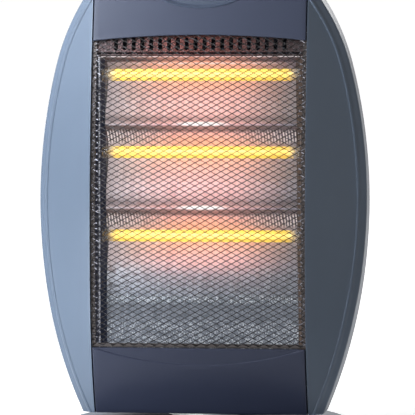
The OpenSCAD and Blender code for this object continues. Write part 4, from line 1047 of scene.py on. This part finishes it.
GUARD_PITCH_X, GUARD_PITCH_Z, GUARD_DEEP, GUARD_LOW_Z = 10.4, 5.66, 3.6, 107.0
GUARD_COLUMNS, GUARD_ROWS = 42, 111             # points of the half-pitch lattice


def strand(name, side):
    """One strand from its bond to the next: wider at the bonds, with its section tipped as the metal was drawn."""
    thick, tip = 0.4, 0.42
    rings = []
    for u, v, wide in ((0.0, 0.0, 0.58), (0.12, 0.09, 0.48), (0.5, 0.5, 0.48), (0.88, 0.91, 0.48), (1.0, 1.0, 0.58)):
        x, z = side * u * GUARD_PITCH_X / 2, v * GUARD_PITCH_Z / 2
        section = ((wide, -thick * 0.5 - tip), (wide * 0.6, thick * 0.9 - tip * 0.2),
                   (-wide, thick * 0.5 + tip), (-wide * 0.6, -thick * 0.9 + tip * 0.2))
        rings.append([(x, z + up, GUARD_DEEP + depth) for up, depth in section])
    return loft(name, rings)


def guard():
    right, left = strand("strand_right", 1), strand("strand_left", -1)
    holder = piece_of("guard_mesh", [(0, 0, 0)])
    mesh_guard.run(holder, Columns=GUARD_COLUMNS, Rows=GUARD_ROWS, Pitch_X=GUARD_PITCH_X / 2 * MM,
                   Pitch_Z=GUARD_PITCH_Z / 2 * MM, Low_Z=GUARD_LOW_Z * MM, Right=right, Left=left,
                   Material=WIRE_STEEL)
    for unit in (right, left):
        bpy.data.objects.remove(unit)
    finish_piece(holder, WIRE_STEEL, "head", ["guard_net"], 40)


guard()

# ------------------------ reflector

TROUGH_UP, RIDGE_R, END_HOLE_R = 26, 1.0, 7.5
FLANGE_LEAN, FLANGE_FOOT = math.radians(9), 2.4
FLANGE_SLOT_W, FLANGE_SLOT_H, FLANGE_SLOT_Z, FLANGE_SLOT_PITCH, FLANGE_SLOTS = 4.2, 13, 9.1, 8.86, 20


def reflector_section():
    """The polished face from the top rim down to the bottom rim, as depth and height in the leaning frame."""
    deep = TROUGH_DEEP - RIDGE_DEEP
    line = [(0.0, RIM_HALF_H), (RIDGE_DEEP * 0.5, RIM_HALF_H)]
    for k, z in enumerate(TUBES):
        last = k == len(TUBES) - 1
        above = TROUGH_UP if k else RIM_HALF_H - z
        below = z - CREASE if last else z - TUBES[k + 1] - TROUGH_UP - 2 * RIDGE_R
        line += [(RIDGE_DEEP + deep * math.sin(a), z + above * math.cos(a))
                 for a in between(0, math.pi / 2, 24)[1 if k else 0:]]
        line += [(RIDGE_DEEP + deep * (1 - s ** 1.6), z - below * s)
                 for s in between(0, 1, 25)[1:None if last else -1]]
        if not last:
            line += [(RIDGE_DEEP - RIDGE_R * math.sin(a), z - below - RIDGE_R + RIDGE_R * math.cos(a))
                     for a in between(0, math.pi, 8)]
    line += [(RIDGE_DEEP * (1 - 0.5 * s), CREASE - (RIM_HALF_H + CREASE) * s) for s in between(0, 1, 11)[1:]]
    return line + [(0.0, -RIM_HALF_H)]


def reflector():
    line = reflector_section()
    rows = [[(x, y, z) for x in between(-RIM_HALF_W, RIM_HALF_W, 24)] for y, z in line]
    parts = [skin("trough", rows, SHEET_WALL, (0, -900, 250), matrix=REFLECTOR)]
    for side in (-1, 1):
        # end wall: from the section's line out to the rim's plane
        rows = [[(side * RIM_HALF_W, y * s, z) for s in (0, 0.34, 0.67, 1)] for y, z in line]
        end = skin("end", rows, SHEET_WALL, (side * -900, 0, 250), matrix=REFLECTOR)
        for height in TUBES:
            profile = [(END_HOLE_R, side * 90), (END_HOLE_R, side * 110)]
            cut(end, loft("hole", turned(ALONG_X, profile, (TUBE_DEEP, height)), REFLECTOR))
        parts.append(end)
    rim = []
    for out, y in ((0.0, 0.9), (0.0, 0.25), (0.3, -0.25), (1.0, -0.5), (1.8, -0.3), (2.4, 0.0), (5.8, 0.0),
                   (5.8, 0.9)):
        top, foot = RIM_HALF_H + min(out, 1.4), -RIM_HALF_H - min(out, 3.0)
        x = RIM_HALF_W + out
        rim.append([(x, y, top), (-x, y, top), (-x, y, foot), (x, y, foot)])
    parts.append(loft("rim", rim, REFLECTOR, True))
    place = (REFLECTOR @ Matrix.Translation((0, 0, RIM_HALF_H + FLANGE_FOOT))
             @ Matrix.Rotation(-FLANGE_LEAN, 4, "X"))
    plate = [[(x, 0, z) for x in between(-HALF_COLUMN, HALF_COLUMN, 40)] for z in (0.8, 2, 5, 8, 11, 14, 17, 20.4)]
    flange = skin("flange", plate, FLANGE_WALL, (0, 900, 400), matrix=place)
    holes = [((i - (FLANGE_SLOTS - 1) / 2) * FLANGE_SLOT_PITCH, 0, FLANGE_SLOT_Z) for i in range(FLANGE_SLOTS)]
    cut(flange, slots("flange_slots", FLANGE_SLOT_W, FLANGE_SLOT_H, 6, holes, place))
    parts.append(flange)
    finish_piece(joined("polished_reflector", parts), POLISHED, "head", ["reflector"], 40)


reflector()

# ------------------------ tubes

PINCH_R, END_R = 0.8, TUBE_R - 1.6
COIL_TURNS, COIL_R, WIRE_R, LEAD_R = 130.0, 2.2, 0.38, 0.55


def tubes():
    profile = [(PINCH_R, -TUBE_HALF), (END_R, -TUBE_HALF)]
    profile += [(TUBE_R, x) for x in between(-TUBE_HALF + 2, TUBE_HALF - 2, 16)]
    profile += [(END_R, TUBE_HALF), (PINCH_R, TUBE_HALF)]
    pieces = [loft("tube", turned(ALONG_X, profile, (TUBE_DEEP, height), 40), REFLECTOR) for height in TUBES]
    finish_piece(joined("tubes", pieces), QUARTZ, "head", ["quartz_tubes"], 50)


def filaments():
    pieces = []
    for height in TUBES:
        wire = piece_of("coil", [(0, 0, 0)])
        coil.run(wire, Turns=COIL_TURNS, Length=2 * GLOW_HALF * MM, Radius=COIL_R * MM, Wire=WIRE_R * MM,
                 Material=FILAMENT)
        place = REFLECTOR @ Matrix.Translation((0, TUBE_DEEP, height))
        place.translation *= MM
        wire.data.transform(place)
        pieces.append(wire)
        for side in (-1, 1):
            profile = [(LEAD_R, side * x) for x in (GLOW_HALF - 0.5, GLOW_HALF + 6, TUBE_HALF - 3.5)]
            pieces.append(loft("lead", turned(ALONG_X, profile, (TUBE_DEEP, height), 12), REFLECTOR))
    finish_piece(joined("coils", pieces), FILAMENT, "head", ["filaments"], 60)


tubes()
filaments()

# ------------------------ base


def base_cover():
    profile = [(BASE_R - 0.6, 3.0), (BASE_R, 3.6), (BASE_R, 9), (BASE_R, BASE_RIM_Z)]
    profile += [(BASE_R - BASE_RIM_R + BASE_RIM_R * math.cos(a), BASE_RIM_Z + BASE_RIM_R * math.sin(a))
                for a in between(0, math.radians(84), 14)[1:]]
    profile += [(BASE_SHOULDER_R + (BASE_HUB_R - BASE_SHOULDER_R) * s,
                 BASE_CROWN_Z + (BASE_TOP_Z - BASE_CROWN_Z) * math.sin(math.pi / 2 * s)) for s in between(0, 1, 24)]
    profile += [(r, BASE_TOP_Z) for r in (27, 20, 14, 10.8)] + [(10.35, BASE_TOP_Z - 0.4), (10.3, 30)]
    piece = skin("base_shell", turned(ALONG_Z, profile, n=144), BASE_WALL, (0, 0, -60), True)
    inlet = loft("inlet", turned(ALONG_Y, [(INLET_R, 140), (INLET_R, 160)], (0, INLET_Z), 40))
    finish_piece(cut(piece, inlet), BASE, "base", ["base_cover"], 32)


base_cover()

# ------------------------ finishes on the solids that stay

FINISHES = {
    STEEL: ("tube_bracket_left", "tube_bracket_right", "bracket_screws", "rear_screws", "swivel_plate", "swing_motor",
            "motor_bridge", "drive_screws", "pivot_tube", "pivot_nut", "swing_arm", "base_plate", "base_screws"),
    FRAME_STEEL: ("guard_frame",),
    CERAMIC: ("ceramic_caps", "terminal_blocks"),
    BRASS: ("tube_terminals",),
    SLEEVE: ("wiring_left", "wiring_right", "wiring_neck"),
    BLACK: ("thermal_cutout", "switch_housings", "thrust_washer", "tilt_switch"),
    NYLON: ("swivel_bush", "swing_crank", "tilt_plunger"),
    RUBBER: ("base_feet", "cord_grommet"),
}
for material, nodes in FINISHES.items():
    for node in nodes:
        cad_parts[node].data.materials.clear()
        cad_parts[node].data.materials.append(material)
